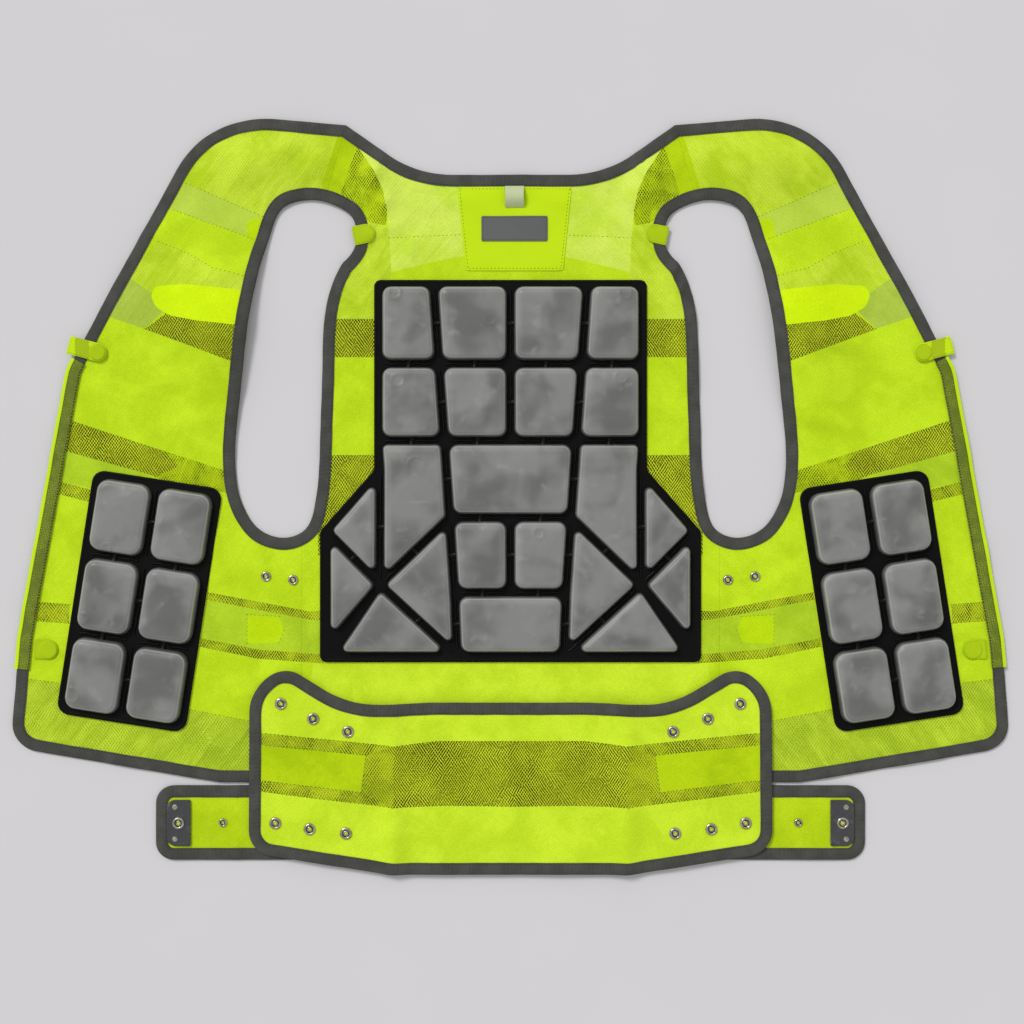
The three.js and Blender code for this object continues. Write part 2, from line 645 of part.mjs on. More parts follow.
function addFrontPack(vest, name, side) {
  const [w, l] = [frontPackWidth / 2, FRONT_PACK_LENGTH / 2];
  const pack = new THREE.Group();
  const outline = mirrored([{ x: w, y: l, r: FRONT_PACK_CORNER }, { x: w, y: -l, r: FRONT_PACK_CORNER }]);
  pack.add(makeMesh(`front_pack_carrier_${name}`, plate(outline, 0, CARRIER), 'carrier'));

  const rim = WELD / 2;
  const [cellWidth, cellLength] = [(2 * (w - rim)) / FRONT_CELL_COLUMNS, (2 * (l - rim)) / FRONT_CELL_ROWS];
  const corner = (column, row) => new THREE.Vector2(rim - w + column * cellWidth, rim - l + row * cellLength);
  const solids = [];
  for (let row = 0; row < FRONT_CELL_ROWS; row += 1) {
    for (let column = 0; column < FRONT_CELL_COLUMNS; column += 1) {
      const corners = [
        corner(column, row),
        corner(column + 1, row),
        corner(column + 1, row + 1),
        corner(column, row + 1),
      ];
      solids.push(cell(corners, FRONT_PACK_CORNER));
      if (column > 0) solids.push(channel(corners[0], corners[3]));
      if (row > 0) solids.push(channel(corners[0], corners[1]));
    }
  }
  const joined = solids.reduce((sum, solid) => sum.add(solid));
  const cells = makeMesh(`front_cell_sheet_${name}`, toGeometry(joined), 'cell');
  cells.position.z = CARRIER + GAP;
  pack.add(cells);

  // Its inner upper corner stands beside the armhole's tape, and its lowest corner above the hem
  const armholeTape = ARM_SETBACK + ARM_WIDTH + TAPE_WIDTH;
  pack.position.set(
    side * (armholeTape + w * Math.cos(tilt) + l * Math.sin(tilt)),
    FRONT_PACK_ABOVE_HEM + l * Math.cos(tilt) + w * Math.sin(tilt),
    onCloth,
  );
  pack.rotation.z = side * tilt;
  vest.add(pack);
}

// Patch, bare label and hanging loop below the neck
function addLabel(vest) {
  const foot = patchTop - LABEL_PATCH_HEIGHT;
  const patch = rounded([
    { x: LABEL_SHIFT + LABEL_PATCH_TOP / 2, y: patchTop, r: 1 },
    { x: LABEL_SHIFT + LABEL_PATCH_FOOT / 2, y: foot, r: 2 },
    { x: LABEL_SHIFT - LABEL_PATCH_FOOT / 2, y: foot, r: 2 },
    { x: LABEL_SHIFT - LABEL_PATCH_TOP / 2, y: patchTop, r: 1 },
  ]);
  const solid = sheet(column(patch), BODY_WAVES, onCloth, onCloth + LABEL);
  vest.add(makeMesh('label_patch', toGeometry(solid), 'facing'));

  const onPatch = onCloth + LABEL + GAP;
  const label = makeMesh('size_label', new THREE.BoxGeometry(LABEL_WIDTH, LABEL_HEIGHT, LABEL), 'label');
  label.position.set(LABEL_SHIFT, (patchTop + foot) / 2, onPatch + LABEL / 2);
  vest.add(label);

  // The loop is a strip bent into a low arch, seen from the side in Y and Z
  const arch = new THREE.QuadraticBezierCurve(
    new THREE.Vector2(0, 0),
    new THREE.Vector2(LOOP_DROP / 2, 2 * LOOP_RISE),
    new THREE.Vector2(LOOP_DROP, 0),
  ).getPoints(8);
  const ends = [new THREE.Vector2(LOOP_DROP, -LOOP_RISE), new THREE.Vector2(0, -LOOP_RISE)];
  const over = inset([...arch, ...ends], -TAPE).slice(0, arch.length);
  const strip = plate([...arch, ...over.reverse()], -LOOP_WIDTH / 2, LOOP_WIDTH / 2);
  strip.rotateY(-Math.PI / 2).rotateX(Math.PI / 2);
  const loop = makeMesh('hanging_loop', strip, 'loop');
  loop.position.set(LABEL_SHIFT, patchTop, onPatch);
  vest.add(loop);
}

// Closure tape along a front edge, from the lower tab up to the upper tab
function closureTape(side) {
  const inner = inset(bodyOutline, CLOSURE_WIDTH - CLOSURE_OVERHANG);
  const strip = column(inset(bodyOutline, -CLOSURE_OVERHANG), [inner]);
  const solid = sheet(strip, BODY_WAVES, onTape, onTape + CLOSURE).intersect(belt(CLOSURE_FOOT, CLOSURE_TOP));
  const reach = half + TAPE_WIDTH;
  const sideHalf = new THREE.BoxGeometry(reach, 4 * bodyLength, 2 * tall).translate((side * reach) / 2, 0, 0);
  return solid.intersect(toSolid(sideHalf));
}

// Tongue with a round inner end
function tab(size, side, x, y, base) {
  const outline = rounded([
    { x: -size.length / 2, y: size.width / 2, r: size.width / 2 },
    { x: -size.length / 2, y: -size.width / 2, r: size.width / 2 },
    { x: size.length / 2, y: -size.width / 2, r: 1 },
    { x: size.length / 2, y: size.width / 2, r: 1 },
  ]);
  const turn = THREE.MathUtils.degToRad(-size.turn);
  const turned = outline.map((point) => point.rotateAround(new THREE.Vector2(), turn));
  const placed = turned.map((point) => new THREE.Vector2(side * (point.x + x), point.y + y));
  return sheet(column(placed), BODY_WAVES, base, base + TAB);
}

// Outer edge of the body at a height, on its right side
function edgeAt(y) {
  for (let i = 0; i + 1 < bodyOutline.length; i += 1) {
    const [a, b] = [bodyOutline[i], bodyOutline[i + 1]];
    if (a.x > ARM_SETBACK + ARM_WIDTH && a.y >= y && b.y < y) {
      return a.x + ((b.x - a.x) * (y - a.y)) / (b.y - a.y);
    }
  }
  return half;
}

function addClosure(vest, name, side) {
  vest.add(makeMesh(`closure_tape_${name}`, toGeometry(closureTape(side)), 'closure'));
  const upperY = CLOSURE_TOP + UPPER_TAB.width / 2 + UPPER_TAB.above;
  const upperX = edgeAt(upperY) - UPPER_TAB.length / 2 + UPPER_TAB.overhang;
  const upper = tab(UPPER_TAB, side, upperX, upperY, onTape + CLOSURE + GAP);
  vest.add(makeMesh(`upper_tab_${name}`, toGeometry(upper), 'facing'));
  const lowerY = CLOSURE_FOOT + LOWER_TAB.width / 2 + LOWER_TAB.above;
  const lowerX = edgeAt(lowerY) - LOWER_TAB.inside - LOWER_TAB.length / 2;
  const lower = tab(LOWER_TAB, side, lowerX, lowerY, onCloth);
  vest.add(makeMesh(`lower_tab_${name}`, toGeometry(lower), 'facing'));
  const armTab = tab(ARM_TAB, side, ARM_SETBACK - ARM_TAB.inside, armTop - ARM_TAB.below, onTape);
  vest.add(makeMesh(`armhole_tab_${name}`, toGeometry(armTab), 'facing'));
}

// Press stud: a flat ring with a domed middle
function studGeometry(radius) {
  const profile = [
    [0, 0],
    [radius, 0],
    [radius, STUD_RIM],
    [STUD_CROWN * radius, STUD_HEIGHT],
    [0, STUD_HEIGHT],
  ].map(([x, y]) => new THREE.Vector2(x, y));
  return new THREE.LatheGeometry(profile, ROUND_SIDES).rotateX(Math.PI / 2);
}

function addStud(vest, name, radius, x, y, z) {
  const mesh = makeMesh(name, toGeometry(toSolid(studGeometry(radius))), 'stud');
  mesh.position.set(x, y, z);
  vest.add(mesh);
}

function addStuds(vest, name, side) {
  const onWaist = onTape + clothBase + CLOTH + GAP;
  for (const row of WAIST_STUDS) {
    const y = waistFoot + row.y * WAIST_HEIGHT;
    addStud(vest, `waist_stud_${row.name}_${name}`, STUD_RADIUS, side * row.x * waistHalf, y, onWaist);
  }
  for (const row of SIDE_STUDS) {
    const x = ARM_SETBACK + row.x * ARM_WIDTH;
    addStud(vest, `side_stud_${row.name}_${name}`, SIDE_STUD_RADIUS, side * x, row.y * SIDE_LENGTH, onCloth);
  }
  const strapX = waistHalf + STRAP_STUD_SHARE * (plateX - PLATE_WIDTH / 2 - waistHalf);
  addStud(vest, `strap_stud_${name}`, SMALL_STUD_RADIUS, side * strapX, strapY, onCloth);
  addStud(vest, `plate_stud_${name}`, STUD_RADIUS, side * plateX, strapY, onTape + PLATE + GAP);
}

const vest = new THREE.Group();
addBody(vest);
addWaist(vest);
addBackPack(vest);
addLabel(vest);
for (const [name, side] of [['right', 1], ['left', -1]]) {
  addFrontPack(vest, name, side);
  addClosure(vest, name, side);
  addStrapPlate(vest, name, side);
  addStuds(vest, name, side);
}

// The middle of the whole vest comes to X = Y = 0, and its lowest face to Z = 0
const box = new THREE.Box3().setFromObject(vest);
vest.position.set(-(box.min.x + box.max.x) / 2, -(box.min.y + box.max.y) / 2, -box.min.z);

export default vest;
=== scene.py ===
"""A hi-vis cooling vest, opened out flat with its inside face up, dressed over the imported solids.

Lengths are millimetres while a piece is worked out: x runs across from the middle of the back, y up from the
hem, z off the floor. `Piece.make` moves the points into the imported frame, in metres.
"""

import logging
import math
from dataclasses import dataclass, field
from enum import Enum
from functools import partial
from typing import Any, Callable, Iterable, Sequence

import bpy
import numpy as np
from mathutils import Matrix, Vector
from mathutils.geometry import delaunay_2d_cdt


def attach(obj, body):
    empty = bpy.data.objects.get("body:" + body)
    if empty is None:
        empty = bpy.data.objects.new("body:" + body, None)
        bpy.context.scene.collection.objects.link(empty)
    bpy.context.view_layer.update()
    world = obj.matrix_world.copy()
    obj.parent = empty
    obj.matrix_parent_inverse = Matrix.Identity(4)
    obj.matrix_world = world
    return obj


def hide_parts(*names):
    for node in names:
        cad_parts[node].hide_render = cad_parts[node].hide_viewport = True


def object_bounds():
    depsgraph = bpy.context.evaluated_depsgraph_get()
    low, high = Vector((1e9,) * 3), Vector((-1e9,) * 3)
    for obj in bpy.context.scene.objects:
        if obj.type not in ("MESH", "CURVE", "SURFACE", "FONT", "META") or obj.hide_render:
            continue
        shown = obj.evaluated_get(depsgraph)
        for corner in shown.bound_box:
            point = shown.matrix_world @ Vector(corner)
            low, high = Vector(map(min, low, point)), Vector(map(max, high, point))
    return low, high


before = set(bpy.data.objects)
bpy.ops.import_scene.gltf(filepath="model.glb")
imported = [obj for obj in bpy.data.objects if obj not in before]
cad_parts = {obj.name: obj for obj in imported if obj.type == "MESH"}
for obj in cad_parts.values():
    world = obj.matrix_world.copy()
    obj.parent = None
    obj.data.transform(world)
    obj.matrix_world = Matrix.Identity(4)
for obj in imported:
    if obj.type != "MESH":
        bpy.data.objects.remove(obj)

log = logging.getLogger("cooling_vest")

MM = 0.001
WAIST_REACH = 90.0  # hem to the lowest edge of the waist panel
CAD_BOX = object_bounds()
HEM_Y = CAD_BOX[0].y + WAIST_REACH * MM
CAMERA_HEIGHT = 1.6
VIEW_WIDTH = 1.024  # metres of floor across the photograph

Points = np.ndarray
Height = Callable[[Points], Points]
Socket = bpy.types.NodeSocket
Surface = tuple[Socket, Socket, float]
Add = Callable[..., Socket]
Ports = Sequence[tuple[float, float, float]]  # fill ports of the cells: x, y, radius

TAPE_STEP = 3.2  # along the folded tape, from section to section
SECTION_STEP = 2.2  # across the tape's pattern, for each side of its section


class Side(Enum):
    """The wearer's two sides as they lie: RIGHT is towards +X."""

    RIGHT = 1
    LEFT = -1

    @property
    def word(self) -> str:
        """Word used in node names."""
        return self.name.lower()


# Outlines


def rounded(corners: Sequence[tuple[float, float, float]], sag: float = 0.06) -> Points:
    """Rounds each corner of a closed outline as far as its sides allow.

    Args:
        corners: (x, y, radius) of each corner.
        sag: How far a piece of an arc may stray from it.

    Returns:
        Points of the outline, N by 2.
    """
    points: list[Points] = []
    for i, (x, y, radius) in enumerate(corners):
        at = np.array((x, y))
        back = np.array(corners[i - 1][:2]) - at
        on = np.array(corners[(i + 1) % len(corners)][:2]) - at
        room = 0.49 * min(np.linalg.norm(back), np.linalg.norm(on))
        back, on = back / np.linalg.norm(back), on / np.linalg.norm(on)
        turn = math.pi - math.acos(float(np.clip(back @ on, -1, 1)))
        reach = min(radius * math.tan(turn / 2), room)
        if reach < 0.01:
            points.append(at)
            continue
        radius = reach / math.tan(turn / 2)
        inwards = (back + on) / np.linalg.norm(back + on)
        centre = at + inwards * radius / math.cos(turn / 2)
        start = at + back * reach - centre
        way = math.copysign(1, on[0] * back[1] - on[1] * back[0])
        steps = max(2, math.ceil(turn / (2 * math.acos(1 - sag / max(radius, 3 * sag)))))
        for angle in way * turn * np.linspace(0, 1, steps + 1):
            cos, sin = math.cos(angle), math.sin(angle)
            points.append(centre + (start[0] * cos - start[1] * sin, start[0] * sin + start[1] * cos))
    return np.array(points)


def mirrored(corners: Sequence[tuple[float, float, float]]) -> Points:
    """Closed outline from the corners of its right half, listed from the top down."""
    return rounded([*corners, *[(-x, y, r) for x, y, r in reversed(corners)]])


def unit(steps: Points) -> Points:
    """The same steps, each one long."""
    return steps / np.maximum(np.linalg.norm(steps, axis=1, keepdims=True), 1e-9)


def inset(points: Points, distance: float) -> Points:
    """Closed outline moved inwards, or outwards where the distance is negative.

    Args:
        points: Closed outline.
        distance: How far it moves.

    Returns:
        The moved outline, with as many points.
    """
    after, before = np.roll(points, -1, 0), np.roll(points, 1, 0)
    arriving, leaving = points - before, after - points
    arriving, leaving = unit(arriving), unit(leaving)
    normal = np.stack([-leaving[:, 1], leaving[:, 0]], 1)
    middle = unit(np.stack([-arriving[:, 1], arriving[:, 0]], 1) + normal)
    stretch = np.maximum(np.sum(middle * normal, axis=1), 0.3)
    return points + middle * (math.copysign(1, signed_area(points)) * distance / stretch)[:, None]


def smooth_loop(knots: Points, per_knot: int) -> Points:
    """Centripetal Catmull-Rom curve through a closed ring of knots.

    Args:
        knots: Points that the curve runs through.
        per_knot: Points made for each of them.

    Returns:
        Points of the curve.
    """
    made = []
    for i in range(len(knots)):
        p0, p1, p2, p3 = (knots[(i + k) % len(knots)] for k in (-1, 0, 1, 2))
        d0, d1, d2 = (math.sqrt(np.linalg.norm(b - a)) for a, b in ((p0, p1), (p1, p2), (p2, p3)))
        t1 = ((p1 - p0) / d0 - (p2 - p0) / (d0 + d1) + (p2 - p1) / d1) * d1
        t2 = ((p2 - p1) / d1 - (p3 - p1) / (d1 + d2) + (p3 - p2) / d2) * d1
        for t in np.arange(per_knot) / per_knot:
            made.append(
                (2 * t**3 - 3 * t**2 + 1) * p1
                + (t**3 - 2 * t**2 + t) * t1
                + (3 * t**2 - 2 * t**3) * p2
                + (t**3 - t**2) * t2
            )
    return np.array(made)


def dense(path: Points, step: float, closed: bool = False) -> Points:
    """The same path with points no further apart than a step.

    Args:
        path: Corners of the path, which are kept.
        step: Longest step.
        closed: Whether it's a ring.

    Returns:
        Points of the path.
    """
    path = np.asarray(path, float)
    ends = np.vstack([path, path[:1]]) if closed else path
    made = []
    for a, b in zip(ends[:-1], ends[1:]):
        count = max(1, math.ceil(np.linalg.norm(b - a) / step))
        made.extend(a + (b - a) * k / count for k in range(count))
    if not closed:
        made.append(ends[-1])
    return np.array(made)


def even(path: Points, step: float, closed: bool = False) -> Points:
    """The same path with points evenly spaced along it.

    Args:
        path: Corners of the path.
        step: Spacing, as near as whole steps allow.
        closed: Whether it's a ring.

    Returns:
        Points of the path.
    """
    ends = np.vstack([path, path[:1]]) if closed else np.asarray(path, float)
    along = np.concatenate([[0], np.cumsum(np.linalg.norm(np.diff(ends, axis=0), axis=1))])
    count = max(2, round(along[-1] / step))
    at = np.linspace(0, along[-1], count + 1)[: count if closed else count + 1]
    return np.stack([np.interp(at, along, ends[:, k]) for k in (0, 1)], 1)


def within(points: Points, ring: Points) -> Points:
    """True for each point that lies inside a closed ring.

    Args:
        points: Places to test.
        ring: Closed outline.

    Returns:
        One truth value for each place.
    """
    x, y = points[:, 0:1], points[:, 1:2]
    ax, ay = ring[None, :, 0], ring[None, :, 1]
    bx, by = np.roll(ax, -1, 1), np.roll(ay, -1, 1)
    rise = np.where(by == ay, 1e-12, by - ay)
    crossing = ((ay > y) != (by > y)) & (x < (bx - ax) * (y - ay) / rise + ax)
    return crossing.sum(axis=1) % 2 == 1


def distance_to(points: Points, path: Points, closed: bool = True) -> Points:
    """Distance from each point to a path.

    Args:
        points: Places to measure from.
        path: Corners of the path.
        closed: Whether it's a ring.

    Returns:
        One distance for each place.
    """
    a = path if closed else path[:-1]
    b = np.roll(path, -1, 0) if closed else path[1:]
    best = np.full(len(points), 1e9)
    for start in range(0, len(a), 64):
        p, q = a[start : start + 64], b[start : start + 64]
        way = q - p
        share = np.einsum("nkd,kd->nk", points[:, None] - p, way) / np.maximum((way**2).sum(1), 1e-9)
        near = p + np.clip(share, 0, 1)[..., None] * way
        best = np.minimum(best, np.linalg.norm(points[:, None] - near, axis=2).min(axis=1))
    return best


def turned(points: Points, degrees: float, centre: tuple[float, float] = (0, 0)) -> Points:
    """Points turned about a centre, anticlockwise.

    Args:
        points: Points to turn.
        degrees: Angle.
        centre: Centre of the turn.

    Returns:
        The turned points.
    """
    angle = math.radians(degrees)
    cos, sin = math.cos(angle), math.sin(angle)
    at = points - centre
    return np.stack([at[:, 0] * cos - at[:, 1] * sin, at[:, 0] * sin + at[:, 1] * cos], 1) + centre


def signed_area(ring: Points) -> float:
    """Area inside a closed ring, positive where it runs anticlockwise."""
    after = np.roll(ring, -1, 0)
    return float(np.sum(ring[:, 0] * after[:, 1] - after[:, 0] * ring[:, 1])) / 2


def signed_areas(flat: Points, tris: Points) -> Points:
    """Area of each triangle, positive where it runs anticlockwise."""
    a, b, c = (flat[tris[:, k]] for k in range(3))
    return ((b - a)[:, 0] * (c - a)[:, 1] - (b - a)[:, 1] * (c - a)[:, 0]) / 2


def upward(flat: Points, tris: Points) -> Points:
    """The same triangles, each running anticlockwise."""
    return np.where((signed_areas(flat, tris) > 0)[:, None], tris, tris[:, ::-1])


def circle(count: int) -> Points:
    """Points round a circle of radius 1."""
    angle = np.linspace(0, 2 * math.pi, count, endpoint=False)
    return np.column_stack([np.cos(angle), np.sin(angle)])


def closed_row(ring: Points) -> Points:
    """A ring as a path that ends where it starts."""
    return np.vstack([ring, ring[:1]])


def length_of(path: Points) -> float:
    """Length of a path."""
    return float(np.linalg.norm(np.diff(path, axis=0), axis=1).sum())


def triangulate(rings: Sequence[Points], cuts: Sequence[Points], grid: float) -> tuple[Points, Points]:
    """Triangles over closed rings and along cuts, with a staggered grid of points between them.

    Args:
        rings: Closed outlines.
        cuts: Open lines that triangles don't cross.
        grid: Spacing of the points between them.

    Returns:
        Points, N by 2, and triangles that fill the outlines' hull.
    """
    lines = [(ring, True) for ring in rings] + [(cut, False) for cut in cuts]
    points, edges = [], []
    for line, closed in lines:
        first = len(points)
        points.extend(line)
        edges.extend((first + i, first + i + 1) for i in range(len(line) - 1))
        if closed:
            edges.append((first + len(line) - 1, first))
    low, high = rings[0].min(0), rings[0].max(0)
    rows = np.arange(low[1], high[1], grid * 0.866)
    columns = np.arange(low[0], high[0], grid)
    free = np.array([(x + (k % 2) * grid / 2, y) for k, y in enumerate(rows) for x in columns])
    clear = np.ones(len(free), bool)
    for line, closed in lines:
        clear &= distance_to(free, line, closed) > 0.4 * grid
    points.extend(free[clear])
    return delaunay(points, edges, 0, 0.04)


def delaunay(
    spots: Sequence[Points], edges: Sequence[tuple[int, int]], kind: int, slack: float
) -> tuple[Points, Points]:
    """Triangles over points that keep to the given edges.

    Args:
        spots: Points, N by 2.
        edges: Edges, by the numbers of their points.
        kind: 0 fills the hull, 1 only what lies inside the edges.
        slack: Distance within which points become one.

    Returns:
        Points, N by 2, and triangles.
    """
    vectors = [Vector((float(x), float(y))) for x, y in spots]
    flat, _, tris, *_ = delaunay_2d_cdt(vectors, edges, [], kind, slack)
    return np.array([tuple(p) for p in flat]), np.array(tris)


# Pieces


@dataclass(frozen=True)
class Seam:
    """A kind of stitch row: how far apart, how long and how thick its stitches are."""

    pitch: float
    length: float
    thick: float


BAND_SEAM = Seam(4.2, 2.6, 0.7)
TAPE_SEAM = Seam(3.4, 2.3, 0.6)
PATCH_SEAM = Seam(3.6, 2.4, 0.6)
LABEL_SEAM = Seam(2.6, 1.8, 0.45)
LOOP_SEAM = Seam(2.4, 1.6, 0.5)
HOOK_SEAM = Seam(3.0, 2.2, 0.8)
INNER_HOOK_SEAM = Seam(3.0, 2.2, 1.5)
TAB_SEAM = Seam(2.8, 1.9, 0.5)


class Shape:
    """Points and faces of a piece while it is built, with a finish, a rim share and a tape place for each."""

    def __init__(self) -> None:
        """Starts with nothing in it."""
        self.points: list[Points] = []
        self.faces: list[tuple[int, ...]] = []
        self.finish: list[int] = []
        self.rim: list[Points] = []
        self.tape: dict[int, list[tuple[float, float]]] = {}
        self.count = 0

    def add(
        self, points: Points, faces: Iterable[Sequence[int]], finish: int | Sequence[int] = 0,
        rim: Points | None = None,
    ) -> int:
        """Adds points and faces, and returns the number of its first point.

        Args:
            points: Points, N by 3.
            faces: Faces, by the numbers of these points.
            finish: Finish of all the faces or of each one.
            rim: Share of the painted highlight line at each point, or of the painted shadow on the flank
                below nought.

        Returns:
            Number of the first point.
        """
        first, faces = self.count, list(faces)
        self.points.append(np.asarray(points, float))
        self.rim.append(np.zeros(len(points)) if rim is None else rim)
        self.faces.extend(tuple(first + int(i) for i in face) for face in faces)
        self.finish.extend([finish] * len(faces) if isinstance(finish, int) else [int(k) for k in finish])
        self.count += len(points)
        return first

    def slab(
        self, flat: Points, triangles: Points, top: Points, low: Points, finish: Sequence[int] | int = 0
    ) -> None:
        """Adds a closed sheet between two heights over the same triangles.

        Args:
            flat: Points of the triangles, seen from above.
            triangles: Triangles over those points.
            top: Height of the upper face at each point.
            low: Height of the lower face at each point.
            finish: Finish of all the triangles or of each one.
        """
        used, inverse = np.unique(triangles, return_inverse=True)
        flat, top, low = flat[used], top[used], low[used]
        tris = upward(flat, inverse.reshape(-1, 3))
        edges = np.concatenate([tris[:, [0, 1]], tris[:, [1, 2]], tris[:, [2, 0]]])
        known = {tuple(e) for e in edges.tolist()}
        n = len(flat)
        rim = [(b, a, n + a, n + b) for a, b in known if (b, a) not in known]
        points = np.vstack([np.column_stack([flat, top]), np.column_stack([flat, low])])
        marks = [finish] * len(tris) if isinstance(finish, int) else list(finish)
        faces = [*tris.tolist(), *(tris[:, ::-1] + n).tolist(), *rim]
        self.add(points, faces, [*marks, *marks, *[marks[0]] * len(rim)])

    def sweep(self, rings: Points, finish: int = 0, closed: bool = True, step: float = 0) -> None:
        """Adds a closed section carried along a path.

        Args:
            rings: Sections, path by section by 3.
            finish: Finish of its faces.
            closed: Whether the path is a ring.
            step: Spacing of the sections, where faces get places on the tape.
        """
        n, m = rings.shape[:2]
        first = len(self.faces)
        quads = []
        for i in range(n if closed else n - 1):
            a, b = i * m, ((i + 1) % n) * m
            quads.extend((a + k, b + k, b + (k + 1) % m, a + (k + 1) % m) for k in range(m))
        if not closed:
            quads.extend([tuple(range(m)), tuple((n - 1) * m + k for k in reversed(range(m)))])
        self.add(rings.reshape(-1, 3), quads, finish)
        if step:
            for at in range(n if closed else n - 1):
                for k in range(m):
                    u, v = at * step, k * SECTION_STEP
                    far_u, far_v = u + step, v + SECTION_STEP
                    self.tape[first + at * m + k] = [(u, v), (far_u, v), (far_u, far_v), (u, far_v)]

    def lathe(
        self, profile: Sequence[tuple[float, float]], centre: Points, sides: int, finish: int = 0
    ) -> None:
        """Adds a turned form round an upright line, from the axis at its foot round to the axis at its top.

        Args:
            profile: Radius and height of each ring.
            centre: Foot of the axis.
            sides: Sides of each ring.
            finish: Finish of its faces.
        """
        disc = circle(sides)
        self.rings([np.column_stack([disc * r, np.full(sides, z)]) + centre for r, z in profile], finish)

    def rings(self, loops: Sequence[Points], finish: int = 0) -> None:
        """Adds a closed form through loops of the same count, from its foot up, capped at both ends.

        Args:
            loops: Loops of points, anticlockwise from above.
            finish: Finish of its faces.
        """
        m = len(loops[0])
        faces: list[tuple[int, ...]] = [tuple(reversed(range(m)))]
        for k in range(len(loops) - 1):
            a, b = k * m, (k + 1) * m
            faces.extend((a + i, a + (i + 1) % m, b + (i + 1) % m, b + i) for i in range(m))
        faces.append(tuple((len(loops) - 1) * m + i for i in range(m)))
        self.add(np.vstack(loops), faces, finish)

    def raised(self, outline: Points, steps: Sequence[tuple[float, float]], base: float) -> None:
        """Adds a flat form whose outline moves inwards step by step as it rises.

        Args:
            outline: Its outline.
            steps: How far inwards and how high each ring lies.
            base: Height of its foot.
        """
        flat = [(inset(outline, inwards), base + z) for inwards, z in steps]
        self.rings([np.column_stack([ring, np.full(len(ring), z)]) for ring, z in flat])

    def stitches(self, path: Points, height: Height, seam: Seam, finish: int) -> None:
        """Adds a row of stitches along a path: short threads, thickest in the middle, lying on the height.

        Args:
            path: Line that the row follows.
            height: Height of the cloth below it.
            seam: Kind of stitch row.
            finish: Number of the thread's finish.
        """
        spots = even(path, seam.pitch)
        way = unit(np.gradient(spots, axis=0))
        across = np.stack([-way[:, 1], way[:, 0]], 1) * seam.thick / 2
        along = way * seam.length / 2
        faces = [(0, 2, 4), (2, 1, 4), (1, 3, 4), (3, 0, 4), (2, 0, 5), (1, 2, 5), (3, 1, 5), (0, 3, 5)]
        lift = np.array([0, 0, 0.1, 0.1, 0.55, -0.3]) * seam.thick
        for at, w, c, up in zip(spots, along, across, height(spots)):
            self.add(np.column_stack([[at - w, at + w, at - c, at + c, at, at], up + lift]), faces, finish)


def placed(name: str, data: bpy.types.ID) -> bpy.types.Object:
    """Adds an object to the scene.

    Args:
        name: Its name.
        data: Mesh, lamp or camera that it shows.

    Returns:
        The new object.
    """
    made = bpy.data.objects.new(name, data)
    bpy.context.scene.collection.objects.link(made)
    return made


class Piece:
    """Turns a shape into a named piece of the scene."""

    @staticmethod
    def make(
        name: str, shape: Shape, finishes: Sequence["Finish"], nodes: Sequence[str], slot: str,
        crease: float = 38,
    ) -> bpy.types.Object:
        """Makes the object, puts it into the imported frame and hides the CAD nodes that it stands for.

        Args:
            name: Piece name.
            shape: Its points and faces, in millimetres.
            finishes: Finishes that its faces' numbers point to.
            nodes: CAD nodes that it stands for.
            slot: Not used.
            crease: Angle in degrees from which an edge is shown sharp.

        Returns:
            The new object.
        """
        points = np.vstack(shape.points) * MM
        points[:, 1] += HEM_Y
        mesh = bpy.data.meshes.new(name)
        mesh.from_pydata(points.tolist(), [], shape.faces)
        for finish in finishes:
            mesh.materials.append(finish.material())
        mesh.polygons.foreach_set("material_index", shape.finish)
        # The rim attribute carries the cells' painted highlight line and the painted shadow on their flanks
        rims = np.concatenate(shape.rim)
        if rims.any():
            mesh.attributes.new("rim", "FLOAT", "POINT").data.foreach_set("value", rims)
        if shape.tape:
            places = mesh.uv_layers.new(name="tape")
            for face, uvs in shape.tape.items():
                for loop, uv in zip(mesh.polygons[face].loop_indices, uvs):
                    places.data[loop].uv = (uv[0] * MM, uv[1] * MM)
        mesh.validate()
        mesh.shade_smooth()
        mesh.set_sharp_from_angle(angle=math.radians(crease))
        made = placed(name, mesh)
        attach(made, "root")
        if nodes:
            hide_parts(*nodes)
        log.info("%s: %d faces", name, len(mesh.polygons))
        return made

    @staticmethod
    def cloth(
        made: bpy.types.Object, width: float, length: float, area: float, rests_on: Sequence[str]
    ) -> None:
        """Takes a laid sheet of cloth by its cut size, in millimetres and square millimetres, and works out
        its area, which is then dropped.
        """
        area_m2 = min(max(area, 0.301 * width * length), width * length) * MM * MM
        list(rests_on)


# Finishes

SMOOTH = {"interpolation_type": "SMOOTHSTEP"}
COLOURS = {"out": 2, "data_type": "RGBA"}


def linear(code: str) -> tuple[float, float, float, float]:
    """An sRGB hex colour as the linear colour that a shader takes.

    Args:
        code: Colour as # and six digits.

    Returns:
        Red, green, blue and full opacity.
    """
    parts = [int(code[i : i + 2], 16) / 255 for i in (1, 3, 5)]
    r, g, b = (p / 12.92 if p <= 0.04045 else ((p + 0.055) / 1.055) ** 2.4 for p in parts)
    return r, g, b, 1.0


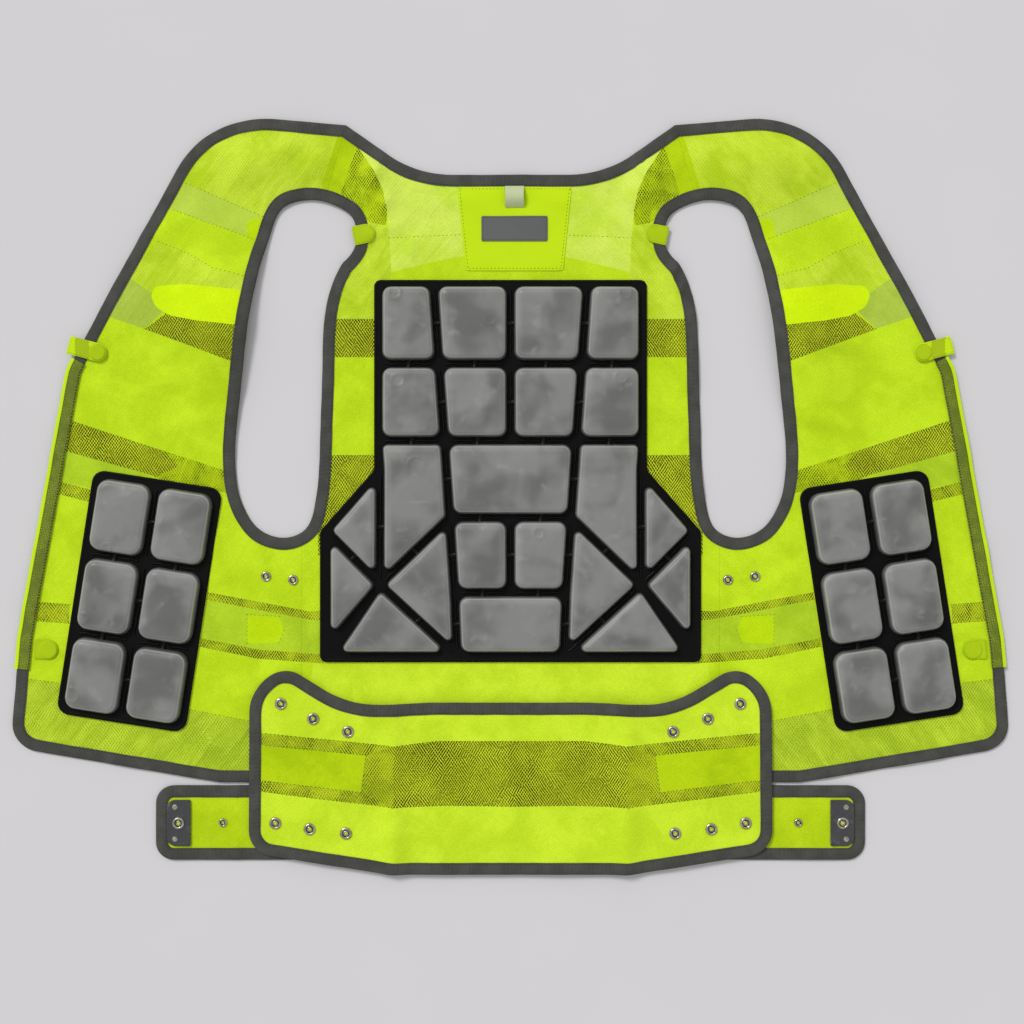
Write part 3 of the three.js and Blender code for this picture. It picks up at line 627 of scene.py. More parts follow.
def add_node(
    tree: bpy.types.NodeTree, kind: str, inputs: Any = (), out: int | str = 0, **settings: Any
) -> bpy.types.NodeSocket:
    """Adds a shader node with its settings and links.

    Args:
        tree: Node tree that it is added to.
        kind: Type of the node, without its ShaderNode prefix.
        inputs: A number, hex colour or linked socket for its first inputs in turn, or by their names.
        out: Output that is wanted.
        **settings: Properties of the node.

    Returns:
        The wanted output.
    """
    made = tree.nodes.new(f"ShaderNode{kind}")
    for name, value in settings.items():
        setattr(made, name, value)
    for key, value in inputs.items() if isinstance(inputs, dict) else enumerate(inputs):
        if isinstance(value, bpy.types.NodeSocket):
            tree.links.new(value, made.inputs[key])
        else:
            made.inputs[key].default_value = linear(value) if isinstance(value, str) else value
    return made.outputs[out]


@dataclass(frozen=True)
class Finish:
    """One finish: a real material and how its surface was made. Subclasses say what shows of it."""

    name: str

    def material(self) -> bpy.types.Material:
        """The finish as a Blender material, made once.

        Returns:
            The material.
        """
        known = bpy.data.materials.get(self.name)
        if known:
            return known
        made = bpy.data.materials.new(self.name)
        made.use_nodes = True
        tree = made.node_tree
        shader = tree.nodes["Principled BSDF"]
        for name, value in self.gloss().items():
            shader.inputs[name].default_value = value
        add = partial(add_node, tree)
        colour, height, depth = self.surface(add, add("TexCoord", out="Object"))
        tree.links.new(colour, shader.inputs["Base Color"])
        relief = add("Bump", {"Height": height, "Strength": 0.5, "Distance": depth * MM})
        tree.links.new(relief, shader.inputs["Normal"])
        return made

    def gloss(self) -> dict[str, float]:
        """Values of the shader's own sockets."""
        raise NotImplementedError

    def surface(self, add: Add, at: Socket) -> Surface:
        """Lays out the nodes of the pattern.

        Args:
            add: Adds a node to the material.
            at: Coordinates of the piece, in metres.

        Returns:
            Colour, height from about 0 to 1, and what that height is in millimetres.
        """
        raise NotImplementedError


@dataclass(frozen=True)
class HiVisKnit(Finish):
    """Warp-knitted polyester mesh, dyed fluorescent yellow-green, with what lies behind showing in its holes,
    and near-black painted shadow in the holes of the open bands.

    The dye is bright and matt. Where two layers of mesh lie on each other, their holes meet in stripes that
    drift.
    """

    thread: str
    # Darker thread colour, mixed in partly by a random cloudy drift and partly as painted shade along the
    # creases
    shade: str
    hole: str
    hole_share: float = 0.3
    patchy: float = 0.3
    cloud: float = 70
    # crinkle sets both the creases' bump and how much painted crease shade goes into the colour
    crinkle: float = 0.6
    pitch: float = 1.9
    hole_size: float = 0.34
    lie: float = -50
    skew: float = 4

    def gloss(self) -> dict[str, float]:
        """Matt fibre with a trace of sheen."""
        return {"Roughness": 0.9, "Specular IOR Level": 0.12, "Sheen Weight": 0.04, "Sheen Roughness": 0.5}

    def surface(self, add: Add, at: Socket) -> Surface:
        """Lays out the holes of two layers, a cloudy tone, fine creases with painted shade along them, and
        flecks of thread.

        Args:
            add: Adds a node.
            at: Coordinates, in metres.

        Returns:
            Colour, height, and that height in millimetres.
        """
        # The real mesh has a hole about every 1.6 mm; 1.9 mm is drawn, which the picture can just show
        slip = add("TexNoise", {"Vector": at, "Scale": 24, "Detail": 1}, "Color")
        slipped = add("VectorMath", (slip, (0.011, 0.011, 0), at), operation="MULTIPLY_ADD")
        layers = []
        for turn, pitch, spots in ((45, self.pitch, at), (45 - self.skew, self.pitch * 1.02, slipped)):
            # Squeezed by this scale before the turn, the rows of holes cross at a steep slant
            lattice = {"Vector": spots, "Rotation": (0, 0, math.radians(turn)), "Scale": (1, 0.68, 1)}
            laid = add("Mapping", lattice)
            cells = {"Vector": laid, "Scale": 1000 / pitch, "Randomness": 0.13}
            layers.append(add("TexVoronoi", cells, "Distance", voronoi_dimensions="2D"))
        far = add("Mix", {0: 0.45, 2: layers[0], 3: layers[1]})
        rims = (far, self.hole_size * 0.66, self.hole_size * 1.2, 1, 0)
        hole = add("MapRange", rims, **SMOOTH)
        # How much of the hole colour shows drifts with a cloud, so on the open bands the painted shadow under
        # the mesh comes and goes
        cloud = add("TexNoise", {"Vector": at, "Scale": 1000 / self.cloud, "Detail": 3, "Distortion": 0.5})
        least = self.hole_share * (1 - self.patchy)
        open_share = add("MapRange", (cloud, 0.38, 0.62, self.hole_share, least))
        seen = add("Math", (hole, open_share), operation="MULTIPLY")
        # Creases about 55 mm long and 12 mm apart run outwards and down on both halves; they bump the surface
        # and also darken the colour as painted shade along the folds
        moved = add("Mapping", {"Vector": at, "Location": (0, 1, 0)})
        halves = add("VectorMath", (moved,), operation="ABSOLUTE")
        stretch = {"Vector": halves, "Rotation": (0, 0, math.radians(self.lie)), "Scale": (0.055, 0.012, 1)}
        creased = add("Mapping", stretch, vector_type="TEXTURE")
        crease = add("TexNoise", {"Vector": creased, "Scale": 1, "Detail": 3, "Distortion": 1.1})
        drift = add("TexNoise", {"Vector": at, "Scale": 22, "Detail": 4, "Roughness": 0.6, "Distortion": 0.4})
        # Painted shade: the crease pattern pulls the colour towards the darker thread along the folds, over
        # the random drift
        drift_and_crease_shade = add("Mix", {0: 0.36 * self.crinkle, 2: drift, 3: crease})
        share = add("MapRange", (drift_and_crease_shade, 0.36, 0.62, 0, 1), **SMOOTH)
        body = add("Mix", {0: share, 6: self.shade, 7: self.thread}, **COLOURS)
        spun = add("TexNoise", {"Vector": at, "Scale": 500, "Detail": 2, "Roughness": 0.6})
        fleck = add("MapRange", (spun, 0.3, 0.7, 0.93, 1.05))
        grey = add("CombineColor", (fleck, fleck, fleck))
        knit = add("Mix", {0: 1.0, 6: body, 7: grey}, **COLOURS, blend_type="MULTIPLY")
        # The hole colour: the facing behind for most looks, and near-black painted shadow under the open
        # bands
        colour = add("Mix", {0: seen, 6: knit, 7: self.hole}, **COLOURS)
        height = add("Math", (crease, 5 * self.crinkle, far), operation="MULTIPLY_ADD")
        return colour, height, 0.6


@dataclass(frozen=True)
class WovenTape(Finish):
    """Grosgrain polyester edge tape with ribs across it: dark grey, matt, rubbed lighter on high spots."""

    thread: str = "#4a4a46"
    groove: str = "#363633"
    rubbed: str = "#66665f"
    rib: float = 1.3

    def gloss(self) -> dict[str, float]:
        """Matt fibre."""
        return {"Roughness": 0.82, "Specular IOR Level": 0.2, "Sheen Weight": 0.06}

    def surface(self, add: Add, at: Socket) -> Surface:
        """Lays out ribs and rubbed spots. The real rib of 0.6 mm is drawn at twice that, to show.

        Args:
            add: Adds a node.
            at: Coordinates, in metres.

        Returns:
            Colour, height, and that height in millimetres.
        """
        along = add("TexCoord", out="UV")
        # A wave of this node is 20 / scale long over 2 pi
        wave = {"Vector": along, "Scale": 1000 / self.rib * math.pi / 10, "Distortion": 0.4, "Detail": 1}
        weave = add("TexWave", wave, "Fac")
        rubs = add("TexNoise", {"Vector": at, "Scale": 62, "Detail": 4, "Roughness": 0.6})
        worn = add("MapRange", (rubs, 0.35, 0.7, 0, 0.24), **SMOOTH)
        rows = add("MapRange", (weave, 0.1, 0.8, 0, 1), **SMOOTH)
        body = add("Mix", {0: rows, 6: self.groove, 7: self.thread}, **COLOURS)
        colour = add("Mix", {0: worn, 6: body, 7: self.rubbed}, **COLOURS)
        fibre = add("TexNoise", {"Vector": at, "Scale": 1100, "Detail": 2})
        return colour, add("Math", (fibre, 0.5, weave), operation="MULTIPLY_ADD"), 0.2


@dataclass(frozen=True)
class PlainWeave(Finish):
    """Smooth woven polyester facing or ribbon: fine crossed threads, low sheen."""

    thread: str
    groove: str
    rough: float = 0.75
    cloud: float = 26

    def gloss(self) -> dict[str, float]:
        """Satin thread."""
        return {"Roughness": self.rough, "Specular IOR Level": 0.15, "Sheen Weight": 0.03}

    def surface(self, add: Add, at: Socket) -> Surface:
        """Lays out crossed threads 1 mm apart, drawn twice as coarse as they are, and a soft variation.

        Args:
            add: Adds a node.
            at: Coordinates, in metres.

        Returns:
            Colour, height, and that height in millimetres.
        """
        wave = {"Vector": at, "Scale": 1000 * math.pi / 10, "Distortion": 0.3}
        warp, weft = (add("TexWave", wave, "Fac", bands_direction=way) for way in ("X", "Y"))
        weave = add("Math", (warp, weft), operation="MULTIPLY")
        rows = add("MapRange", (weave, 0, 0.7, 0, 1), **SMOOTH)
        body = add("Mix", {0: rows, 6: self.groove, 7: self.thread}, **COLOURS)
        noise = add("TexNoise", {"Vector": at, "Scale": 1000 / self.cloud, "Detail": 4})
        cloud = add("MapRange", (noise, 0.3, 0.7, 0, 0.45), **SMOOTH)
        return add("Mix", {0: cloud, 6: body, 7: self.groove}, **COLOURS), weave, 0.12


@dataclass(frozen=True)
class HookTape(Finish):
    """Nylon hook tape sewn over the edge tape: stubby, half-clear hooks in rows, tinted by the grey below."""

    hook: str = "#9aac1e"
    ground: str = "#5c6c18"

    def gloss(self) -> dict[str, float]:
        """Half-clear nylon."""
        return {"Roughness": 0.55, "Specular IOR Level": 0.25}

    def surface(self, add: Add, at: Socket) -> Surface:
        """Lays out the rows of hooks, 1.7 mm apart, as bright points on a dull ground.

        Args:
            add: Adds a node.
            at: Coordinates, in metres.

        Returns:
            Colour, height, and that height in millimetres.
        """
        laid = add("Mapping", {"Vector": at, "Rotation": (0, 0, math.radians(8))})
        cells = {"Vector": laid, "Scale": 1000 / 1.7, "Randomness": 0.35}
        far = add("TexVoronoi", cells, "Distance", voronoi_dimensions="2D")
        hook = add("MapRange", (far, 0.1, 0.5, 1, 0), **SMOOTH)
        noise = add("TexNoise", {"Vector": at, "Scale": 83, "Detail": 4, "Roughness": 0.6})
        worn = add("MapRange", (noise, 0.35, 0.65, 0.25, 1), **SMOOTH)
        share = add("Math", (hook, worn), operation="MULTIPLY")
        return add("Mix", {0: share, 6: self.ground, 7: self.hook}, **COLOURS), hook, 0.6


@dataclass(frozen=True)
class GelFilm(Finish):
    """Frosted polyurethane film, heat-formed over clear cooling gel: grey and cloudy over the black carrier.

    The film is satin. A pale line is painted where it turns down as a highlight, and its flank below that
    line is darker with painted shadow.
    """

    body: str = "#828281"
    dark: str = "#656564"
    milky: str = "#9b9b99"
    # The pale line colour is a painted highlight along the turn-down; the flank colour below is a painted
    # shadow on the steep flank
    line: str = "#a9aaa5"
    flank_shadow: str = "#3f3f3e"

    def gloss(self) -> dict[str, float]:
        """Polyurethane, satin, with a thin clear skin."""
        skin = {"Coat Weight": 0.08, "Coat Roughness": 0.25}
        return {"Roughness": 0.42, "IOR": 1.49, "Specular IOR Level": 0.3, **skin}

    def surface(self, add: Add, at: Socket) -> Surface:
        """Lays out the cloudy gel, the painted highlight line, the painted shadow on the flank and the film's
        slight wrinkles.

        Args:
            add: Adds a node.
            at: Coordinates, in metres.

        Returns:
            Colour, height, and that height in millimetres.
        """
        slow = add("TexNoise", {"Vector": at, "Scale": 26, "Detail": 2, "Roughness": 0.45, "Distortion": 0.3})
        cloud = add("MapRange", (slow, 0.32, 0.66, 0, 1), **SMOOTH)
        gel = add("Mix", {0: cloud, 6: self.dark, 7: self.body}, **COLOURS)
        quick = add("TexNoise", {"Vector": at, "Scale": 60, "Detail": 2, "Distortion": 0.4})
        milky = add("MapRange", (quick, 0.56, 0.8, 0, 0.4), **SMOOTH)
        gel = add("Mix", {0: milky, 6: gel, 7: self.milky}, **COLOURS)
        edge = add("Attribute", out="Fac", attribute_name="rim")
        # Painted highlight: where the rim attribute is above nought the pale line is mixed in
        gel = add("Mix", {0: edge, 6: gel, 7: self.line}, **COLOURS)
        # Painted shadow: where it is below nought the dark flank colour is mixed in
        flank_shadow_share = add("Math", (edge, -1), operation="MULTIPLY")
        colour = add("Mix", {0: flank_shadow_share, 6: gel, 7: self.flank_shadow}, **COLOURS)
        fine = add("TexNoise", {"Vector": at, "Scale": 200, "Detail": 2})
        return colour, add("Math", (fine, 0.12, quick), operation="MULTIPLY_ADD"), 1.0


@dataclass(frozen=True)
class MouldedSheet(Finish):
    """Moulded elastomer or plastic sheet with the fine grain of its mould."""

    body: str
    worn: str
    rough: float = 0.55
    shine: float = 0.1
    coat: float = 0.0
    grain: float = 1.6
    marks: float = 22

    def gloss(self) -> dict[str, float]:
        """Dull moulded skin, with a clear coat where the sheet is lacquered."""
        skin = {"Coat Weight": self.coat, "Coat Roughness": 0.15}
        return {"Roughness": self.rough, "Specular IOR Level": self.shine, **skin}

    def surface(self, add: Add, at: Socket) -> Surface:
        """Lays out handling marks, and a grain of about 1.6 mm that is drawn coarser than the real 0.4 mm.

        Args:
            add: Adds a node.
            at: Coordinates, in metres.

        Returns:
            Colour, height, and that height in millimetres.
        """
        noise = {"Vector": at, "Scale": 1000 / self.marks, "Detail": 5, "Roughness": 0.65, "Distortion": 0.6}
        marks = add("MapRange", (add("TexNoise", noise), 0.5, 0.8, 0, 0.7), **SMOOTH)
        colour = add("Mix", {0: marks, 6: self.body, 7: self.worn}, **COLOURS)
        fine = {"Vector": at, "Scale": 1000 / self.grain, "Detail": 3, "Roughness": 0.6}
        return colour, add("TexNoise", fine), 0.1


@dataclass(frozen=True)
class NickelPlate(Finish):
    """Press-stud brass plated with nickel: warm silver, stamped, with fine handling scratches."""

    body: str = "#c9c3b4"
    dull: str = "#8f897b"

    def gloss(self) -> dict[str, float]:
        """Plated metal."""
        return {"Metallic": 1.0, "Roughness": 0.24}

    def surface(self, add: Add, at: Socket) -> Surface:
        """Lays out tarnish in patches and fine scratches.

        Args:
            add: Adds a node.
            at: Coordinates, in metres.

        Returns:
            Colour, height, and that height in millimetres.
        """
        noise = add("TexNoise", {"Vector": at, "Scale": 310, "Detail": 4, "Roughness": 0.6})
        patch = add("MapRange", (noise, 0.35, 0.7, 0, 1), **SMOOTH)
        colour = add("Mix", {0: patch, 6: self.body, 7: self.dull}, **COLOURS)
        return colour, add("TexNoise", {"Vector": at, "Scale": 1400, "Detail": 2}), 0.03


@dataclass(frozen=True)
class SewingThread(Finish):
    """Spun polyester sewing thread: matt, slightly furry."""

    body: str
    twist: str = "#2a2a26"

    def gloss(self) -> dict[str, float]:
        """Matt fibre."""
        return {"Roughness": 0.85, "Specular IOR Level": 0.2, "Sheen Weight": 0.1}

    def surface(self, add: Add, at: Socket) -> Surface:
        """Lays out a twist that varies a little along the thread.

        Args:
            add: Adds a node.
            at: Coordinates, in metres.

        Returns:
            Colour, height, and that height in millimetres.
        """
        noise = add("TexNoise", {"Vector": at, "Scale": 1250, "Detail": 2})
        twist = add("MapRange", (noise, 0.3, 0.7, 0, 0.4), **SMOOTH)
        return add("Mix", {0: twist, 6: self.body, 7: self.twist}, **COLOURS), noise, 0.1


@dataclass(frozen=True)
class StudioPaper(Finish):
    """Seamless background paper: pale, matt, even."""

    body: str = "#d4d2d4"
    tooth: str = "#d0ced0"

    def gloss(self) -> dict[str, float]:
        """Uncoated paper."""
        return {"Roughness": 0.95, "Specular IOR Level": 0.1}

    def surface(self, add: Add, at: Socket) -> Surface:
        """Lays out the paper's faint tooth.

        Args:
            add: Adds a node.
            at: Coordinates, in metres.

        Returns:
            Colour, height, and that height in millimetres.
        """
        noise = add("TexNoise", {"Vector": at, "Scale": 6, "Detail": 3})
        share = add("MapRange", (noise, 0.3, 0.7, 0, 0.5), **SMOOTH)
        return add("Mix", {0: share, 6: self.body, 7: self.tooth}, **COLOURS), noise, 0.05


class Cloth(Enum):
    """The looks of the vest's cloth, by what is sewn behind the mesh at each place, with painted light in one
    lighter copy and painted shadow in the holes of the open bands.
    """

    SOLID = HiVisKnit("mesh_on_facing", "#c9ea22", "#bbdb18", "#93b312", 0.34, 0.4, 70, 0.3)
    SOFT = HiVisKnit("mesh_loose_on_facing", "#cde73c", "#b5d31e", "#93b21a", 0.45, 0.5, 30, 0.9, 2.1)
    PALE = HiVisKnit("mesh_on_light", "#d8ee60", "#c6e43e", "#abcb34", 0.45, 0.5, 36, 0.6, 2.1)
    BRIGHT = HiVisKnit("doubled_facing", "#d6f50b", "#cdef07", "#bcde08", 0.15, 0.4, 40, 0.2)
    DEEP = HiVisKnit("doubled_facing_and_mesh", "#bcd90e", "#abc808", "#90ac08", 0.35, 0.5, 30, 0.3)
    WARM = HiVisKnit("strap_facing", "#c1de1a", "#b3d010", "#92ad0e", 0.4, 0.5, 30, 0.3)
    TABBED = HiVisKnit("mesh_over_tab", "#c3e40c", "#b7d906", "#a2c206", 0.3, 0.4, 30, 0.2)
    STRIP = HiVisKnit("mesh_on_reflective_strip", "#bfd94a", "#b5d040", "#a2bb3e", 0.3, 0.4, 40, 0.2)
    DULL = HiVisKnit("mesh_folded_on_reflective_strip", "#b6cf4c", "#a7c13e", "#90a938", 0.4, 0.5, 26, 0.7)
    SIDE = HiVisKnit("mesh_on_side_facing", "#b9da2a", "#aaca22", "#93b21a", 0.4, 0.4, 40, 0.4)
    # A lighter copy of SOLID with the same pattern: painted light on the lower back and the waist panel
    PLAIN = HiVisKnit("mesh_on_pale_facing", "#d1f030", "#c3e224", "#9cbc18", 0.34, 0.4, 70, 0.3)
    # DARK, NARROW, FADE and LEAF have near-black holes: painted shadow standing for the shade under the open
    # mesh
    DARK = HiVisKnit("open_mesh_on_painted_shadow", "#d2e428", "#bccb20", "#0c0f01", 1.0, 0.2, 60, 0.3, 1.9, 0.43)
    NARROW = HiVisKnit("open_mesh_band", "#c8dc22", "#b4c81c", "#13170a", 0.98, 0.5, 18, 0.3, 1.9, 0.42)
    FADE = HiVisKnit("open_mesh_half_backed", "#c0d31e", "#adc01a", "#262e08", 0.9, 0.4, 22, 0.5, 1.9, 0.4)
    LIGHT = HiVisKnit("open_mesh_on_light", "#c5e036", "#abc726", "#708c14", 0.7, 0.5, 30, 1.3, 2.1, 0.38)
    LEAF = HiVisKnit("open_mesh_folded", "#c4df16", "#a6be10", "#1c2204", 0.95, 0.7, 16, 1.3, 1.9, 0.38, -78)


GREY_TAPE = WovenTape("grosgrain_edge_tape")
TAPE_THREAD = SewingThread("grey_thread", "#2c2c2a")
CLOTH_THREAD = SewingThread("green_thread", "#8aa514")
DARK_THREAD = SewingThread("dark_green_thread", "#5a6a12")
FACING = PlainWeave("hi_vis_facing", "#cdee10", "#c0e20c")
TAB_CLOTH = PlainWeave("doubled_hi_vis_facing", "#bcd90a", "#a6c208", 0.7, 9)
OLIVE_TAB = PlainWeave("hi_vis_facing_on_hooks", "#b7ce10", "#a0b80e", 0.7, 9)
HOOK_TAPE = HookTape("nylon_hook_tape")
GEL = GelFilm("gel_under_frosted_film")
GEL_PASSAGE = MouldedSheet("film_over_carrier", "#090909", "#1b1b1b", 0.45, 0.12, 0.04, 3.0)
CARRIER = MouldedSheet("black_moulded_carrier", "#060606", "#0f0f0e")
PLATE = MouldedSheet("dark_moulded_plate", "#353639", "#77787a", 0.3, 0.4, 0.5, 1.2, 9)
NICKEL = NickelPlate("nickel_press_stud")
# Darker metal for the well: painted shade in the socket
STUD_WELL_SHADE = NickelPlate("press_stud_well_painted_shade", "#6e6a5c", "#2c2a22")
LABEL_SATIN = PlainWeave("grey_satin_label", "#6c6d6c", "#5d5e5e", 0.5, 18)
RIBBON = PlainWeave("pale_cotton_ribbon", "#cfd6b0", "#b9c295", 0.8, 8)
CLOTH_FINISHES = [*(look.value for look in Cloth), CLOTH_THREAD, DARK_THREAD]


# Parts of the vest


@dataclass(frozen=True)
class Band:
    """A part of the cloth with a look of its own, as a ring of points on the right half."""

    look: Cloth
    ring: tuple[tuple[float, float], ...]
    stitched: tuple[int, ...] = ()
    bend: float = 0.0

    def outline(self) -> Points:
        """The ring with its corners rounded by the bend."""
        return rounded([(x, y, self.bend) for x, y in self.ring], 0.4)

    def cut(self, side: Side) -> Points:
        """The outline on one side of the vest, dense enough to follow the drape."""
        return dense(self.outline() * (side.value, 1), 6, True)

    def rows(self) -> list[Points]:
        """The marked edges, as rows to be stitched on the right half."""
        ring = np.array(self.ring, float)
        return [np.stack([ring[k], ring[(k + 1) % len(ring)]]) for k in self.stitched]


def looks_of(centres: Points, bands: Sequence[Band], look: Cloth) -> Points:
    """Number of the look at each place, from the first band that it lies in.

    Args:
        centres: Places on the cloth.
        bands: Bands of it, of which the first counts.
        look: Look outside all of them.

    Returns:
        One number for each place.
    """
    looks = np.full(len(centres), list(Cloth).index(look))
    folded = np.abs(centres) * (1, 0) + centres * (0, 1)
    for band in reversed(bands):
        looks[within(folded, band.outline())] = list(Cloth).index(band.look)
    return looks


@dataclass
class Drape:
    """How the opened vest lies: low mounds where it stands off the floor, and small folds between them."""

    half: float = 499.0
    length: float = 664.5
    fold_height: float = 14.0
    # x share of half, y share of length, half lengths along and across as shares of it, turn, height share
    mounds: tuple[tuple[float, ...], ...] = (
        (0.585, 0.685, 0.195, 0.11, 9, 1.0), (0.51, 0.93, 0.075, 0.14, 0, 0.6),
        (0.272, 0.903, 0.085, 0.04, -26, 0.45), (0.79, 0.74, 0.1, 0.075, 25, 0.3),
    )
    # x, y, half length, half width, turn in degrees, height: creases and soft folds in millimetres
    folds: tuple[tuple[float, ...], ...] = (
        (140, 600, 46, 5, 24, 2.6), (150, 590, 40, 4, 12, 2.0), (128, 575, 34, 4, 34, 1.8),
        (166, 618, 26, 5, -8, 1.6), (160, 512, 34, 5, -38, 2.6), (150, 498, 30, 5, -52, 2.2),
        (168, 492, 24, 4, -20, 1.6), (120, 556, 40, 5, 64, 1.2), (196, 622, 34, 7, 30, 1.4),
        (230, 626, 44, 9, 62, 1.4), (262, 610, 40, 8, 40, 1.2), (300, 600, 44, 9, 20, 1.0),
        (330, 560, 50, 10, 66, 1.2), (300, 500, 60, 8, 70, 1.3), (320, 440, 60, 9, 68, 1.1),
        (360, 400, 56, 10, 76, 1.0), (320, 360, 60, 8, 72, 1.2), (390, 330, 40, 6, 64, 1.0),
        (440, 250, 46, 6, 8, 1.0), (265, 200, 46, 6, -60, 1.2), (240, 110, 60, 8, 78, 1.2),
        (268, 80, 40, 7, 60, 1.2), (90, 95, 60, 7, 84, 0.9), (30, 96, 50, 6, 92, 0.8),
        (150, 100, 44, 7, 76, 0.9), (372, 44, 60, 7, 80, 1.3), (300, 30, 50, 6, 72, 1.0),
        (440, 40, 40, 7, 96, 1.0), (60, 580, 50, 7, 84, 0.8), (100, 530, 36, 5, 20, 1.2),
    )
    # ovals that hold the cloth down under what lies on it: x, y, half width, half height
    weights: tuple[tuple[float, ...], ...] = (
        (0, 310, 150, 200), (0, 190, 200, 90), (388, 183, 78, 128), (0, 0, 280, 86),
    )

    @staticmethod
    def shares(dx: Points, dy: Points, turn: float, along: float, across: float) -> tuple[Points, Points]:
        """Places in a turned oval, as shares of its half length and half width.

        Args:
            dx: Distances from its middle, across the vest.
            dy: Distances from its middle, up the vest.
            turn: Its turn in degrees.
            along: Its half length.
            across: Its half width.

        Returns:
            The shares along it and across it.
        """
        cos, sin = math.cos(math.radians(turn)), math.sin(math.radians(turn))
        return (dy * cos - dx * sin) / along, (dx * cos + dy * sin) / across

    def mound(self, x: Points, y: Points) -> Points:
        """Height of the low mounds.

        Args:
            x: Distances from the middle.
            y: Distances from the hem.

        Returns:
            One height for each place.
        """
        total = np.zeros_like(x)
        for mx, my, along, across, turn, share in self.mounds:
            dx, dy = x - mx * self.half, y - my * self.length
            far = np.hypot(*self.shares(dx, dy, turn, along * self.length, across * self.length))
            bell = np.where(far < 1, 0.5 + 0.5 * np.cos(math.pi * np.minimum(far, 1)), 0)
            total += self.fold_height * share * bell
        return total

    def rise(self, points: Points) -> Points:
        """Height of the cloth's underside above its flat place, at each point.

        Args:
            points: Places on the floor.

        Returns:
            One height for each place.
        """
        x, y = np.abs(points[:, 0]), points[:, 1]
        small = np.zeros_like(x)
        for fx, fy, along, across, turn, height in self.folds:
            u, v = self.shares(x - fx, y - fy, turn, along, across)
            v = v + 0.35 * np.sin(2.2 * u + fx)
            small += 2.1 * height * np.exp(-(v**2)) * np.clip(1 - u**2, 0, 1) ** 2
        wave = np.zeros_like(x)
        for k, (period, turn) in enumerate(((93, 20), (61, 75), (47, 130), (131, 100), (29, 50))):
            angle = math.radians(turn)
            along = points[:, 0] * math.cos(angle) + points[:, 1] * math.sin(angle)
            phase = 2 * math.pi * along / period + 1.7 * k + 0.01 * points[:, 1]
            wave += math.sqrt(period / 90) * np.sin(phase)
        free = np.ones_like(x)
        for wx, wy, w, h in self.weights:
            far = np.maximum(np.abs(x - wx) / w, np.abs(y - wy) / h)
            free = np.minimum(free, np.clip((far - 1) / 0.12, 0, 1))
        return self.mound(x, y) + free * (small + 0.4 * np.maximum(wave + 1.2, 0))


